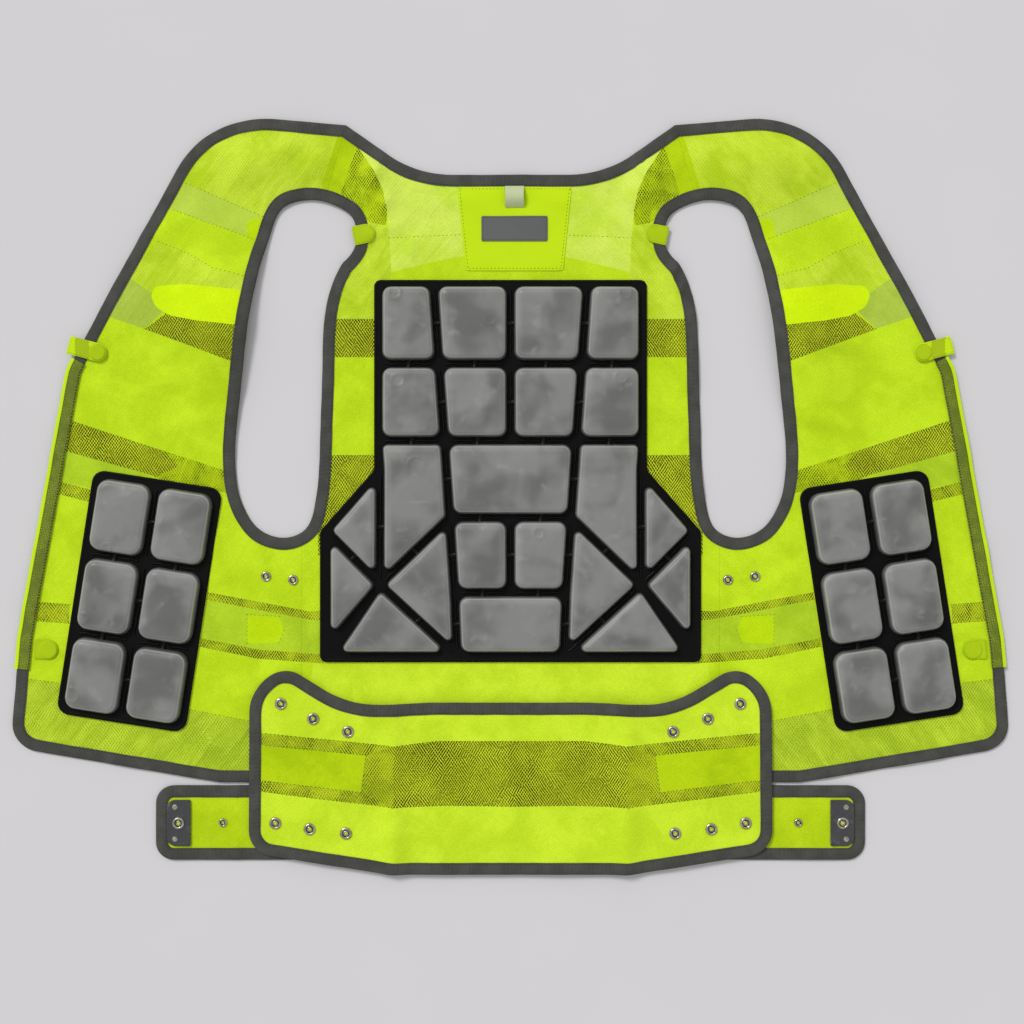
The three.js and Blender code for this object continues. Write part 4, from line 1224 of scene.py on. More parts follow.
@dataclass
class Body:
    """The body's cloth, opened out: back, both fronts and the tape folded round every edge."""

    drape: Drape = field(default_factory=Drape)
    arm_setback: float = 154.0
    arm_width: float = 121.0
    arm_length: float = 337.0
    front_width: float = 224.0
    side_length: float = 245.5
    shoulder_width: float = 82.0
    neck_width: float = 328.0
    neck_drop: float = 56.5
    shoulder_drop: float = 7.0
    cloth: float = 1.5
    tape: float = 0.8
    tape_width: float = 12.0
    tape_turn: float = 2.0
    tape_seam: float = 1.5
    gap: float = 0.3
    seam_share: float = 0.45
    shoulder_share: float = 0.29
    grid: float = 7.0
    corners: tuple[tuple[float, float, float], ...] = (
        (0.607, 1.007, 0.205), (0.885, 0.622, 0.08), (0.9825, 0.218, 0.12), (1.0, 0.055, 0.056),
        (0.581, 0.002, 0.12),
    )
    armhole_knots: tuple[tuple[float, float], ...] = (
        (0.4, 1.0), (0.61, 0.975), (0.735, 0.868), (0.843, 0.717), (0.942, 0.455), (1.0, 0.242),
        (0.95, 0.108), (0.8, 0.025), (0.587, 0.0), (0.413, 0.028), (0.33, 0.123), (0.289, 0.39),
        (0.248, 0.687), (0.149, 0.791), (0.008, 0.865), (0.025, 0.945), (0.19, 0.987),
    )
    bands: tuple[Band, ...] = (
        Band(Cloth.BRIGHT, (
            (359, 487), (355, 497), (326, 498), (262, 491), (266, 456), (311, 461), (339, 467), (354, 476),
        ), (), 9),
        Band(Cloth.TABBED, ((262, 563), (240, 566), (248, 541), (264, 543)), (), 5),
        Band(Cloth.STRIP, ((335, 604), (240, 563), (250, 541), (348, 577)), (0, 2)),
        Band(Cloth.DULL, ((384, 508), (345, 480), (345, 473), (365, 454), (410, 469))),
        Band(Cloth.DARK, ((365, 454), (336, 475), (271, 472), (262, 472), (262, 414), (277, 421)), (5,)),
        Band(Cloth.LEAF, ((348, 333), (283, 312), (283, 290), (322, 299), (354, 306), (331, 317))),
        Band(Cloth.DARK, (
            (443, 364), (337, 329), (290, 314), (290, 300), (344, 302), (361, 309), (450, 334),
        ), (0, 5)),
        Band(Cloth.SIDE, ((450, 334), (361, 309), (410, 293), (456, 303))),
        Band(Cloth.NARROW, ((456, 303), (410, 291), (410, 279), (458, 291)), (0, 2)),
        Band(Cloth.NARROW, ((480, 182), (440, 179), (441, 160), (480, 163)), (0, 2)),
        Band(Cloth.DEEP, ((190, 592), (172, 648), (153, 636), (170, 588))),
        Band(Cloth.LEAF, (
            (164, 652), (150, 632), (136, 611), (127, 592), (123, 572), (124, 557), (140, 560), (170, 590),
        ), (), 2),
        Band(Cloth.PALE, (
            (0, 549), (51, 548), (121, 545), (123, 572), (127, 592), (136, 611), (150, 632), (150, 652),
            (0, 652),
        ), (0, 1)),
        Band(Cloth.PALE, ((0, 549), (51, 548), (121, 545), (119, 511), (60, 525), (0, 531))),
        Band(Cloth.DARK, ((190, 464), (130, 464), (130, 426), (190, 426)), (0, 2)),
        Band(Cloth.DARK, ((192, 328), (130, 328), (130, 240), (192, 228)), (0,)),
        Band(Cloth.NARROW, ((302, 191), (201, 172), (186, 173), (186, 163), (201, 164), (303, 184)), (0, 4)),
        Band(Cloth.TABBED, ((263, 169), (231, 167), (226, 153), (231, 141), (263, 140)), (0, 2, 4), 4),
        Band(Cloth.SIDE, ((303, 184), (201, 164), (186, 163), (186, 129), (252, 134), (309, 145))),
        Band(Cloth.NARROW, ((309, 145), (252, 134), (186, 129), (186, 120), (252, 125), (310, 137)), (0, 4)),
        Band(Cloth.LIGHT, (
            (499, 107), (453, 101), (420, 92), (319, 74), (262, 63), (200, 60), (0, 60), (0, -5), (499, -5),
        ), (0, 1, 2, 3)),
        Band(Cloth.SOFT, (
            (351, 541), (321, 529), (296, 514), (262, 505), (262, 480), (345, 480), (384, 508),
        ), (0, 1, 2)),
        # Lower back below the pack: the facing mesh painted lighter
        Band(Cloth.PLAIN, ((0, 126), (196, 126), (206, 60), (0, 60))),
        Band(
            Cloth.SOFT, ((172, 648), (190, 592), (200, 590), (240, 563), (335, 604), (300, 680), (172, 680))
        ),
        Band(
            Cloth.SOFT, ((119, 500), (121, 545), (124, 557), (140, 560), (190, 540), (190, 464), (124, 464))
        ),
    )

    def __post_init__(self) -> None:
        """Works out the outlines from the sizes."""
        self.half = self.arm_setback + self.arm_width + self.front_width
        self.arm_top = self.side_length + self.arm_length
        self.length = self.arm_top + self.shoulder_width
        self.neck_y = self.length - self.neck_drop
        self.edge_height = 2 * self.tape + 2 * self.gap + self.cloth
        self.cloth_base = self.tape + self.gap
        self.on_cloth = self.cloth_base + self.cloth + self.gap
        self.on_tape = self.edge_height + self.gap
        neck = self.neck_width / 2
        self.outline = mirrored([
            (0.573 * neck, self.neck_y, 0.67 * neck),
            (neck, self.length - self.shoulder_drop, 0),
            *[(x * self.half, y * self.length, r * self.half) for x, y, r in self.corners],
        ])
        knots = np.array(self.armhole_knots) * (self.arm_width, self.arm_length)
        self.armhole = smooth_loop(knots + (self.arm_setback, self.side_length), 8)
        self.seam_x = self.arm_setback + self.seam_share * self.arm_width
        shoulder = np.array((neck, self.length - self.shoulder_drop))
        arm_x = self.arm_setback + self.shoulder_share * self.arm_width
        arm_end = np.array((arm_x, self.arm_top - self.tape_width))
        past = shoulder + (shoulder - arm_end) * 24 / np.linalg.norm(shoulder - arm_end)
        side_end = (self.seam_x, self.side_length + 12)
        self.seam = np.array([(self.seam_x, -20.0), side_end, tuple(arm_end), tuple(past)])

    def height(self, base: float) -> Height:
        """Height function of what lies at a given height above the flat floor under the cloth.

        Args:
            base: Height above the floor under the cloth.

        Returns:
            The function, from places to heights.
        """

        def lying(points: Points) -> Points:
            """Height above the floor at each point."""
            return self.drape.rise(points) + base

        return lying

    def past_seam(self, points: Points) -> Points:
        """How far each point lies past the seam of its side, towards the front."""
        return np.abs(points[:, 0]) - np.interp(points[:, 1], self.seam[:, 1], self.seam[:, 0])

    def panels(self) -> None:
        """Builds the back and both front panels as one cut sheet each, parted at their seams."""
        edge = self.tape + self.gap
        outer = even(inset(self.outline, edge), 5, True)
        holes = [even(inset(self.armhole, -edge), 5, True) * (side.value, 1) for side in Side]
        cuts = []
        for side in Side:
            cuts.extend(band.cut(side) for band in self.bands)
            cuts.extend(dense((self.seam + (shift, 0)) * (side.value, 1), 6) for shift in (-0.06, 0.06))
        flat, tris = triangulate([outer, *holes], cuts, self.grid)
        centre = flat[tris].mean(axis=1)
        keep = within(centre, outer) & ~within(centre, holes[0]) & ~within(centre, holes[1])
        tris, centre = tris[keep], centre[keep]
        looks = looks_of(centre, self.bands, Cloth.SOLID)
        past = self.past_seam(centre)
        low = self.height(self.cloth_base)(flat)
        zones = {"back_panel": past < -0.04}
        for side in Side:
            zones[f"front_panel_{side.word}"] = (past > 0.04) & (centre[:, 0] * side.value > 0)
        for name, zone in zones.items():
            shape = Shape()
            shape.slab(flat, tris[zone], low + self.cloth, low, looks[zone])
            self.band_stitches(shape, name, outer)
            made = Piece.make(name, shape, CLOTH_FINISHES, [name], "cloth")
            used = flat[np.unique(tris[zone])]
            area = np.abs(signed_areas(flat, tris[zone])).sum()
            Piece.cloth(made, *np.ptp(used, 0), area, ["floor"])

    def band_stitches(self, shape: Shape, name: str, outer: Points) -> None:
        """Adds the rows of stitches on a panel, along the bands' marked edges.

        Args:
            shape: Shape of the panel.
            name: Name of the panel.
            outer: Outline of the body's cloth.
        """
        top = self.height(self.cloth_base + self.cloth)
        inner = inset(outer, self.tape_width)
        for side in Side:
            if name.startswith("front") and not name.endswith(side.word):
                continue
            hole = inset(self.armhole, -self.tape_width) * (side.value, 1)
            for row in (row for band in self.bands for row in band.rows()):
                spots = even(row * (side.value, 1), BAND_SEAM.pitch)
                past = self.past_seam(spots)
                own = (past < -1) if name == "back_panel" else (past > 1)
                ok = own & within(spots, inner) & ~within(spots, hole)
                for run in np.split(np.arange(len(spots)), np.flatnonzero(np.diff(ok.astype(int))) + 1):
                    if ok[run[0]] and len(run) > 2:
                        shape.stitches(spots[run], top, BAND_SEAM, CLOTH_FINISHES.index(CLOTH_THREAD))

    def tape_rings(self, path: Points, inwards: Points, base: float, height: Height) -> Points:
        """Section of the folded tape at each point of a path.

        Args:
            path: Points along the outer edge.
            inwards: Unit steps towards the cloth.
            base: Height of its underside.
            height: Height of the cloth's folds.

        Returns:
            Rings, path by section by 3.
        """
        tall, w, t = self.edge_height, self.tape_width, self.tape
        section = [
            (w, tall - 0.35), (w - 1.6, tall - 0.08), (w * 0.5, tall), (2.2, tall - 0.05), (0.8, tall - 0.5),
            (0.15, tall * 0.7), (0.0, tall * 0.5), (0.15, tall * 0.3), (0.8, 0.5), (2.2, 0.05), (w, 0.0),
            (w, t), (1.4, t + 0.15), (1.0, tall * 0.5), (1.4, tall - t - 0.15), (w, tall - t - 0.15),
        ]
        run = np.arange(len(path))
        rings = []
        for inner, z in section:
            ripple = 0.22 * np.sin(run * 0.71 + inner * 0.3) + 0.16 * np.sin(run * 0.29 + 1.3)
            spots = path + inwards * (inner + 0.25 * ripple)[:, None]
            lift = height(spots) + base + z + (0.35 * ripple if z > tall * 0.6 else 0)
            rings.append(np.column_stack([spots, np.maximum(lift, 0)]))
        return np.stack(rings, 1)

    def folded_tape(
        self, name: str, path: Points, inwards: Points, height: Height, base: float, closed: bool,
        step: float, run: float,
    ) -> None:
        """Builds tape folded round an edge, with its row of stitches.

        Args:
            name: Piece name.
            path: Points along the outer edge.
            inwards: Unit steps towards the cloth.
            height: Height of the cloth's folds.
            base: Height of its underside.
            closed: Whether the path is a ring.
            step: Spacing of the path's points.
            run: Length that the tape was cut to.
        """
        shape = Shape()
        shape.sweep(self.tape_rings(path, inwards, base, height), 0, closed, step)

        def top(points: Points) -> Points:
            """Height of the tape's face."""
            return height(points) + base + self.edge_height - 0.02

        row = path + inwards * (self.tape_width - self.tape_seam)
        shape.stitches(closed_row(row) if closed else row, top, TAPE_SEAM, 1)
        made = Piece.make(name, shape, [GREY_TAPE, TAPE_THREAD], [name], "tape", 50)
        cut = 2 * self.tape_width + self.tape_turn
        Piece.cloth(made, run, cut, run * cut, ["floor"])

    def edge_tape(
        self, name: str, ring: Points, height: Height, base: float, span: tuple[int, int] | None = None
    ) -> None:
        """Builds tape folded round a closed outline, or round a stretch of it.

        Args:
            name: Piece name.
            ring: Closed outline, evenly spaced.
            height: Height of the cloth's folds.
            base: Height of its underside.
            span: First and last point of the stretch, or None for all of it.
        """
        inwards = (inset(ring, self.tape_width) - ring) / self.tape_width
        pick = np.arange(len(ring)) if span is None else np.arange(span[0], span[1] + 1) % len(ring)
        path = ring[pick]
        step = float(np.median(np.linalg.norm(np.diff(path, axis=0), axis=1)))
        run = length_of(path) + (step if span is None else 0)
        self.folded_tape(name, path, inwards[pick], height, base, span is None, step, run)

    def tapes(self) -> None:
        """Builds the tapes of the neck, the fronts, the back's hem and both armholes."""
        ring = even(self.outline, TAPE_STEP, True)
        if signed_area(ring) > 0:
            ring = ring[::-1]
        start = int(np.argmin(np.hypot(ring[:, 0], ring[:, 1] - self.neck_y)))
        ring = np.roll(ring, -start, 0)
        neck = np.array((self.neck_width / 2, self.length - self.shoulder_drop))
        hem = np.array((self.seam_x, 0.0))
        mirror = (-1, 1)
        places = {"neck": neck, "left_neck": neck * mirror, "hem": hem, "left_hem": hem * mirror}
        at = {name: int(np.argmin(np.hypot(*(ring - place).T))) for name, place in places.items()}
        spans = {
            "neck_binding": (at["left_neck"], at["neck"] + len(ring)),
            "front_binding_right": (at["neck"], at["hem"]),
            "back_hem_binding": (at["hem"], at["left_hem"]),
            "front_binding_left": (at["left_hem"], at["left_neck"]),
        }
        for name, span in spans.items():
            self.edge_tape(name, ring, self.drape.rise, 0, span)
        for side in Side:
            hole = even(self.armhole, TAPE_STEP, True) * (side.value, 1)
            hole = hole[::-1] if side is Side.LEFT else hole
            outwards = (inset(hole, -self.tape_width) - hole) / self.tape_width
            name, run = f"armhole_binding_{side.word}", TAPE_STEP * len(hole)
            self.folded_tape(name, hole, outwards, self.drape.rise, 0, True, TAPE_STEP, run)

    def build(self) -> None:
        """Builds every piece of the body."""
        self.panels()
        self.tapes()


@dataclass
class Waist:
    """The waist strap, and the waist panel with its upright creases that lies on it and on the hem."""

    body: Body
    strap_length: float = 708.0
    strap_width: float = 74.5
    strap_corner: float = 18.0
    strap_below: float = 1.5
    width: float = 522.0
    tall: float = 172.5
    above: float = 82.5
    crease_share: float = 0.444
    crease_height: float = 4.0
    crease_width: float = 18.0
    plate_width: float = 24.0
    plate_length: float = 46.0
    plate_corner: float = 9.0
    corners: tuple[tuple[float, float, float], ...] = (
        (0.3, 0.994, 0.0), (0.612, 0.975, 0.38), (0.866, 1.212, 0.105), (0.996, 1.055, 0.17),
        (1.0, 0.128, 0.1), (0.464, 0.0, 0.3),
    )
    bands: tuple[Band, ...] = (
        Band(Cloth.NARROW, ((256, 52), (117, 38), (144, 29), (256, 40)), (0,)),
        Band(Cloth.DEEP, ((256, 40), (144, 29), (149, -8), (256, 5)), (0, 1, 2)),
        Band(Cloth.NARROW, ((256, 5), (149, -8), (117, -23), (194, -14), (256, -6)), (2, 3)),
        Band(Cloth.FADE, ((117, 38), (144, 29), (149, -8), (117, -23))),
        Band(Cloth.DARK, ((0, 43), (74, 43), (117, 38), (117, -23), (65, -21), (0, -22)), (0, 1, 3, 4)),
    )

    def __post_init__(self) -> None:
        """Works out the outlines from the sizes."""
        half, foot = self.width / 2, self.above - self.tall
        self.outline = mirrored([(x * half, foot + y * self.tall, r * half) for x, y, r in self.corners])
        top = -self.strap_below
        reach = self.strap_length / 2
        self.strap = mirrored([(reach, y, self.strap_corner) for y in (top, top - self.strap_width)])
        self.strap_y = top - self.strap_width / 2
        self.plate_x = reach - self.body.tape_width + 1 - self.plate_width / 2

    def panel_rise(self, points: Points) -> Points:
        """Height of the waist panel's creases and of its slight waves.

        Args:
            points: Places on the panel.

        Returns:
            One height for each place.
        """
        x, y = np.abs(points[:, 0]), points[:, 1]
        near = np.abs(x - self.crease_share * self.width / 2) / self.crease_width
        tent = self.crease_height * np.clip(1 - near, 0, 1) ** 1.15
        wave = 0.35 * (1 + np.sin(points[:, 0] / 19 + y / 60))
        wave += 0.25 * (1 + np.sin(points[:, 0] / 9.5 - y / 31))
        return tent + wave

    @staticmethod
    def strap_rise(points: Points) -> Points:
        """Slight waves along the strap."""
        return 0.3 * (1 + np.sin(points[:, 0] / 15)) * (np.abs(points[:, 0]) > 270)

    def sheet(
        self, name: str, outline: Points, rise: Height, base: float, bands: Sequence[Band], on: str,
        look: Cloth,
    ) -> None:
        """Builds a cloth sheet and the tape round it.

        Args:
            name: Piece name.
            outline: Outline, tape included.
            rise: Height of its creases and waves.
            base: Height of its underside.
            bands: Parts of it with a look of their own.
            on: What it rests on.
            look: Look of the rest of it.
        """
        body = self.body
        outer = even(inset(outline, body.tape + body.gap), 5, True)
        cuts = [band.cut(side) for band in bands for side in Side]
        if bands:
            crease_x = self.crease_share * self.width / 2
            rows = np.linspace(-100, 100, 40)
            cuts += [np.column_stack([np.full(len(rows), side.value * crease_x), rows]) for side in Side]
        flat, tris = triangulate([outer], cuts, body.grid)
        centre = flat[tris].mean(axis=1)
        tris, centre = tris[within(centre, outer)], centre[within(centre, outer)]
        low = rise(flat) + base + body.cloth_base
        shape = Shape()
        shape.slab(flat, tris, low + body.cloth, low, looks_of(centre, bands, look))

        def top(points: Points) -> Points:
            """Height of the sheet's face."""
            return rise(points) + base + body.cloth_base + body.cloth

        inner = inset(outer, body.tape_width)
        for side in Side:
            for row in (row for band in bands for row in band.rows()):
                spots = even(row * (side.value, 1), BAND_SEAM.pitch)
                spots = spots[within(spots, inner)]
                if len(spots) > 2:
                    shape.stitches(spots, top, BAND_SEAM, CLOTH_FINISHES.index(DARK_THREAD))
        made = Piece.make(name, shape, CLOTH_FINISHES, [name], "cloth")
        Piece.cloth(made, *np.ptp(outer, 0), np.abs(signed_areas(flat, tris)).sum(), [on])
        body.edge_tape(f"{name}_binding", even(outline, TAPE_STEP, True), rise, base)

    def plates(self) -> None:
        """Builds the dark moulded plate with two rivets at each end of the strap."""
        w, l, r = self.plate_width / 2, self.plate_length / 2, self.plate_corner
        for side in Side:
            outline = rounded([(-w, -l, 1.2), (w, -l, r), (w, l, r), (-w, l, 1.2)]) * (side.value, 1)
            if side is Side.LEFT:
                outline = outline[::-1]
            place = np.array((side.value * self.plate_x, self.strap_y))
            base = self.body.on_tape
            shape = Shape()
            steps = ((0.0, 0.0), (0.0, 1.0), (0.35, 1.4), (0.9, 1.5), (2.2, 1.5), (2.7, 1.3), (3.4, 1.25))
            shape.raised(outline + place, steps, base)
            for end in (1, -1):
                at = np.array((place[0] + side.value * 3.6, place[1] + end * 16, base + 1.0))
                shape.lathe([(2.9, 0), (2.9, 0.6), (2.5, 1.1), (1.7, 1.3), (0.7, 1.35)], at, 28, 1)
            name = f"strap_plate_{side.word}"
            Piece.make(name, shape, [PLATE, NICKEL], [name], "plate", 30)

    def build(self) -> None:
        """Builds the strap, the panel and the plates."""
        self.sheet("waist_strap", self.strap, self.strap_rise, 0, (), "floor", Cloth.WARM)
        base = self.body.on_tape
        # The waist panel's own look is the facing mesh painted lighter
        self.sheet("waist_panel", self.outline, self.panel_rise, base, self.bands, "back_panel", Cloth.PLAIN)
        self.plates()


@dataclass
class CoolingPack:
    """A black moulded carrier with gel cells under film on it, joined by small passages."""

    body: Body
    carrier: float = 2.5
    cell_height: float = 12.0
    weld: float = 7.0
    turn_down: float = 6.5

    def moulded_carrier(self, name: str, outline: Points, base: float) -> None:
        """Builds the carrier sheet: rounded edge, and a low step a little way inside it.

        Args:
            name: Piece name.
            outline: Its outline.
            base: Height of its foot.
        """
        steps = ((0.5, 0), (0, 0.4), (0, 1.9), (0.3, 2.35), (0.9, 2.5), (2.4, 2.5), (2.8, 2.25), (3.4, 2.2))
        ring = even(outline, 4, True)
        shape = Shape()
        shape.raised(ring, steps, base)
        Piece.make(name, shape, [CARRIER], [name], "carrier", 30)

    def film(self, wall: Points, inside: Ports) -> tuple[Points, Points]:
        """Triangles of a cell's film, closer where it turns down and at its fill ports.

        Args:
            wall: Outline of the cell's foot.
            inside: Fill ports in it.

        Returns:
            Points, N by 2, and triangles.
        """
        guides = []
        for depth in (0.7, 1.5, 2.1, 2.7, 3.3, 4.0, 5.2):
            ring = inset(wall, depth)
            guides.append(ring[distance_to(ring, wall) > 0.96 * depth])
        for x, y, r in inside:
            guides.extend(circle(28) * radius + (x, y) for radius in (r - 1.1, r, r + 1.1))
        low, high = wall.min(0), wall.max(0)
        rows, columns = np.arange(low[1], high[1], 3.6), np.arange(low[0], high[0], 3.6)
        free = np.array([(x, y) for y in rows for x in columns])
        free = free[within(free, wall) & (distance_to(free, wall) > 6.6)]
        for x, y, r in inside:
            free = free[np.abs(np.hypot(free[:, 0] - x, free[:, 1] - y) - r) > 2]
        spots = np.vstack([wall, *guides, free])
        edges = [(i, (i + 1) % len(wall)) for i in range(len(wall))]
        return delaunay(spots, edges, 1, 1e-5)

    def cell(self, shape: Shape, corners: Points, corner: float, base: float, ports: Ports) -> None:
        """Adds one cell: a pillow of gel whose film turns down steeply at its rim.

        Args:
            shape: Shape that it is added to.
            corners: Places where the seam lines round it meet.
            corner: Radius of its corners.
            base: Height of its foot.
            ports: Fill ports, of which those inside the cell are pressed into it.
        """
        ccw = corners if signed_area(corners) > 0 else corners[::-1]
        wall = even(rounded([(x, y, corner) for x, y in inset(ccw, self.weld / 2)], 0.15), 2.6, True)
        inside = [port for port in ports if within(np.array([port[:2]]), inset(wall, 4))[0]]
        flat, tris = self.film(wall, inside)
        far = distance_to(flat, wall)
        share = np.clip(far / self.turn_down, 0, 1)
        top = self.cell_height * 0.86 * np.sqrt(np.clip(1 - (1 - share) ** 2.3, 0, 1))
        crown = np.clip((far - 3) / 22, 0, 1)
        x, y = flat.T
        lumps = np.sin(x / 8.3 + y / 17) + np.sin(y / 6.9 - x / 13 + 1.1)
        top = top + self.cell_height * 0.12 * np.sin(crown * math.pi / 2)
        top += 0.28 * lumps * np.clip(far / 9, 0, 1)
        for port_x, port_y, r in inside:
            top += 0.55 * np.exp(-((np.hypot(x - port_x, y - port_y) - r) ** 2) / 0.7)
        edge = far < 1e-3
        top = np.where(edge, 0, np.minimum(top, self.cell_height))
        # Above nought this is the painted highlight line where the film turns down, below nought the painted
        # shadow on the flank under it
        rim_highlight_and_flank_shadow = 0.8 * np.exp(-(((far - 2.7) / 0.62) ** 2)) + 0.16 * np.exp(-(((far - 4.8) / 2.2) ** 2))
        rim_highlight_and_flank_shadow -= 0.9 * np.clip(1 - far / 1.9, 0, 1)
        tris = upward(flat, tris)
        spare = np.flatnonzero(~edge)
        under = np.arange(len(flat))
        under[spare] = len(flat) + np.arange(len(spare))
        foot = np.column_stack([flat[spare], np.full(len(spare), base)])
        points = np.vstack([np.column_stack([flat, base + top]), foot])
        rims = np.concatenate([rim_highlight_and_flank_shadow, rim_highlight_and_flank_shadow[spare]])
        shape.add(points, [*tris.tolist(), *under[tris[:, ::-1]].tolist()], 0, rims)

    def passage(self, shape: Shape, a: Points, b: Points, base: float) -> None:
        """Adds the low passage that joins two cells over their seam, and the welded ridges beside it.

        Args:
            shape: Shape that it is added to.
            a: One end of the seam between the cells.
            b: Its other end.
            base: Height of its foot.
        """
        middle, length = (a + b) / 2, float(np.linalg.norm(b - a))
        along = (b - a) / length
        across = np.array((-along[1], along[0]))
        reach = self.weld / 2 + 1.5
        rings = []
        for t in np.linspace(-1, 1, 7):
            ring = []
            for angle in np.linspace(0, math.pi, 9):
                spot = middle + across * t * reach + along * (2.2 + 1.6 * t * t) * math.cos(angle)
                ring.append((spot[0], spot[1], base + (1.3 + 1.1 * t * t) * math.sin(angle)))
            rings.append(ring)
        shape.sweep(np.array(rings), 1, False)
        section = ((-1.1, 0.0), (1.1, 0.0), (0.8, 0.7), (0.0, 1.0), (-0.8, 0.7))
        for way in (1, -1):
            rings = []
            for t in np.linspace(4.6, max(length / 2 - 7, 6), 8):
                bow = 0.5 * math.sin(t * 0.5)
                spots = [middle + way * along * t + across * (x + bow) for x, _ in section]
                rings.append([(x, y, base + z) for (x, y), (_, z) in zip(spots, section)])
            shape.sweep(np.array(rings[:: way]), 1, False)


@dataclass
class BackPack(CoolingPack):
    """The large pack of the back: straight beside the armholes, flared below them, with 22 cells."""

    clearance: float = 6.0
    waist_above: float = 82.5
    label_height: float = 83.5
    below_label: float = 9.5
    above_waist: float = 39.0
    flare_reach: float = 36.0
    flare_top: float = 67.5
    flare_full: float = 6.5
    corner: float = 6.0
    seam_points: dict[str, tuple[float, float]] = field(default_factory=lambda: {
        "m0": (0, 0.992), "m1": (0, 0.78), "m2": (0, 0.579), "m3": (0, 0.378), "m4": (0, 0.182),
        "m5": (0, 0.017), "s0": (0.403, 0.992), "s1": (0.374, 0.78), "s2": (0.345, 0.579),
        "s3": (0.318, 0.378), "s4": (0.292, 0.182), "s5": (0.279, 0.017), "e0": (0.692, 0.992),
        "e1": (0.692, 0.78), "e2": (0.692, 0.579), "waist": (0.682, 0.504), "cross": (0.684, 0.203),
        "flare": (0.963, 0.344), "low": (0.963, 0.039), "foot": (0.937, 0.017),
    })
    cells: tuple[tuple[str, float, bool], ...] = (
        ("m0 s0 s1 m1", 9, False), ("s0 e0 e1 s1", 9, False), ("m1 s1 s2 m2", 9, False),
        ("s1 e1 e2 s2", 9, False), ("m2 s2 s3 m3", 9, True), ("s2 e2 waist cross s3", 5, False),
        ("m3 s3 s4 m4", 9, False), ("m4 s4 s5 m5", 9, True), ("waist flare cross", 5, False),
        ("flare low cross", 5, False), ("cross foot s5", 5, False), ("s3 cross s5 s4", 5, False),
    )
    ports: Ports = (
        (-114.5, 488.5, 6), (-111.5, 402, 6), (-93.5, 316.5, 9), (109.5, 404.5, 6), (114, 488, 6),
        (-20, 462, 5), (28, 250, 5),
    )

    def __post_init__(self) -> None:
        """Works out where the carrier's foot, top and flare lie."""
        body = self.body
        self.foot = self.waist_above + self.above_waist
        self.top = body.neck_y - body.tape_width - body.gap - self.label_height - self.below_label
        self.flare = body.arm_setback + self.flare_reach

    def place(self, name: str, way: int) -> tuple[float, float]:
        """Where a named seam point lies, on the right half for 1 and on the left for -1."""
        x, y = self.seam_points[name]
        return way * x * self.flare, self.foot + y * (self.top - self.foot)

    def build(self) -> None:
        """Builds the carrier and its cells."""
        body = self.body
        half = body.arm_setback - body.tape_width - self.clearance
        reaches = (
            (half, self.top),
            (half, body.side_length + self.flare_top),
            (self.flare, body.side_length + self.flare_full),
            (self.flare, self.foot),
        )
        outline = mirrored([(x, y, self.corner) for x, y in reaches])
        self.moulded_carrier("back_pack_carrier", outline, body.on_cloth)
        shape = Shape()
        base = body.on_cloth + self.carrier + body.gap
        seen: set[tuple[tuple[float, float], ...]] = set()
        for words, corner, whole in self.cells:
            names = words.split()
            for side in (Side.RIGHT,) if whole else Side:
                spots = [self.place(name, side.value) for name in names]
                if whole:
                    spots += [self.place(name, -side.value) for name in reversed(names[1:-1])]
                self.cell(shape, np.array(spots), corner, base, self.ports)
                for a, b in zip(spots, [*spots[1:], spots[0]]):
                    key = tuple(sorted((tuple(np.round(a, 3)), tuple(np.round(b, 3)))))
                    if key in seen:
                        self.passage(shape, np.array(a), np.array(b), base)
                    seen.add(key)
        made = Piece.make("back_cell_sheet", shape, [GEL, GEL_PASSAGE], ["back_cell_sheet"], "cell", 60)


@dataclass
class FrontPack(CoolingPack):
    """The small pack of one front: three rows of two cells, tilted with the front edge."""

    length: float = 246.0
    corner: float = 12.0
    margins: float = 94.0
    above_hem: float = 51.0
    tilt: float = 8.8
    ports: Ports = ((-423.5, 166, 5), (-434.5, 90, 7), (-400, 236, 4), (-352, 112, 4))

    def lay(self, points: Sequence[tuple[float, float]] | Points, side: Side) -> Points:
        """Points of an upright pack, tilted with the front edge and moved to their place.

        Args:
            points: Places on the upright pack, from its middle.
            side: Side of the vest.

        Returns:
            Places on the vest.
        """
        body, w, l = self.body, (self.body.front_width - self.margins) / 2, self.length / 2
        cos, sin = math.cos(math.radians(self.tilt)), math.sin(math.radians(self.tilt))
        tape = body.arm_setback + body.arm_width + body.tape_width
        centre = (side.value * (tape + w * cos + l * sin), self.above_hem + l * cos + w * sin)
        return turned(np.asarray(points, float), side.value * self.tilt) + centre

    def build_side(self, side: Side) -> None:
        """Builds the pack of one side.

        Args:
            side: Side of the vest.
        """
        body = self.body
        w, l = (body.front_width - self.margins) / 2, self.length / 2
        outline = mirrored([(w, l, self.corner), (w, -l, self.corner)])
        self.moulded_carrier(f"front_pack_carrier_{side.word}", self.lay(outline, side), body.on_cloth)
        rim = self.weld / 2
        wide, tall = 2 * (w - rim) / 2, 2 * (l - rim) / 3
        shape = Shape()
        base = body.on_cloth + self.carrier + body.gap
        ports = [(-side.value * x, y, r) for x, y, r in self.ports]
        for row in range(3):
            for column in range(2):
                steps = [(column + i, row + j) for i, j in ((0, 0), (1, 0), (1, 1), (0, 1))]
                spots = self.lay([(rim - w + i * wide, rim - l + j * tall) for i, j in steps], side)
                self.cell(shape, spots, self.corner, base, ports)
                if column > 0:
                    self.passage(shape, spots[0], spots[3], base)
                if row > 0:
                    self.passage(shape, spots[0], spots[1], base)
        name = f"front_cell_sheet_{side.word}"
        Piece.make(name, shape, [GEL, GEL_PASSAGE], [name], "cell", 60)

    def build(self) -> None:
        """Builds both packs."""
        for side in Side:
            self.build_side(side)


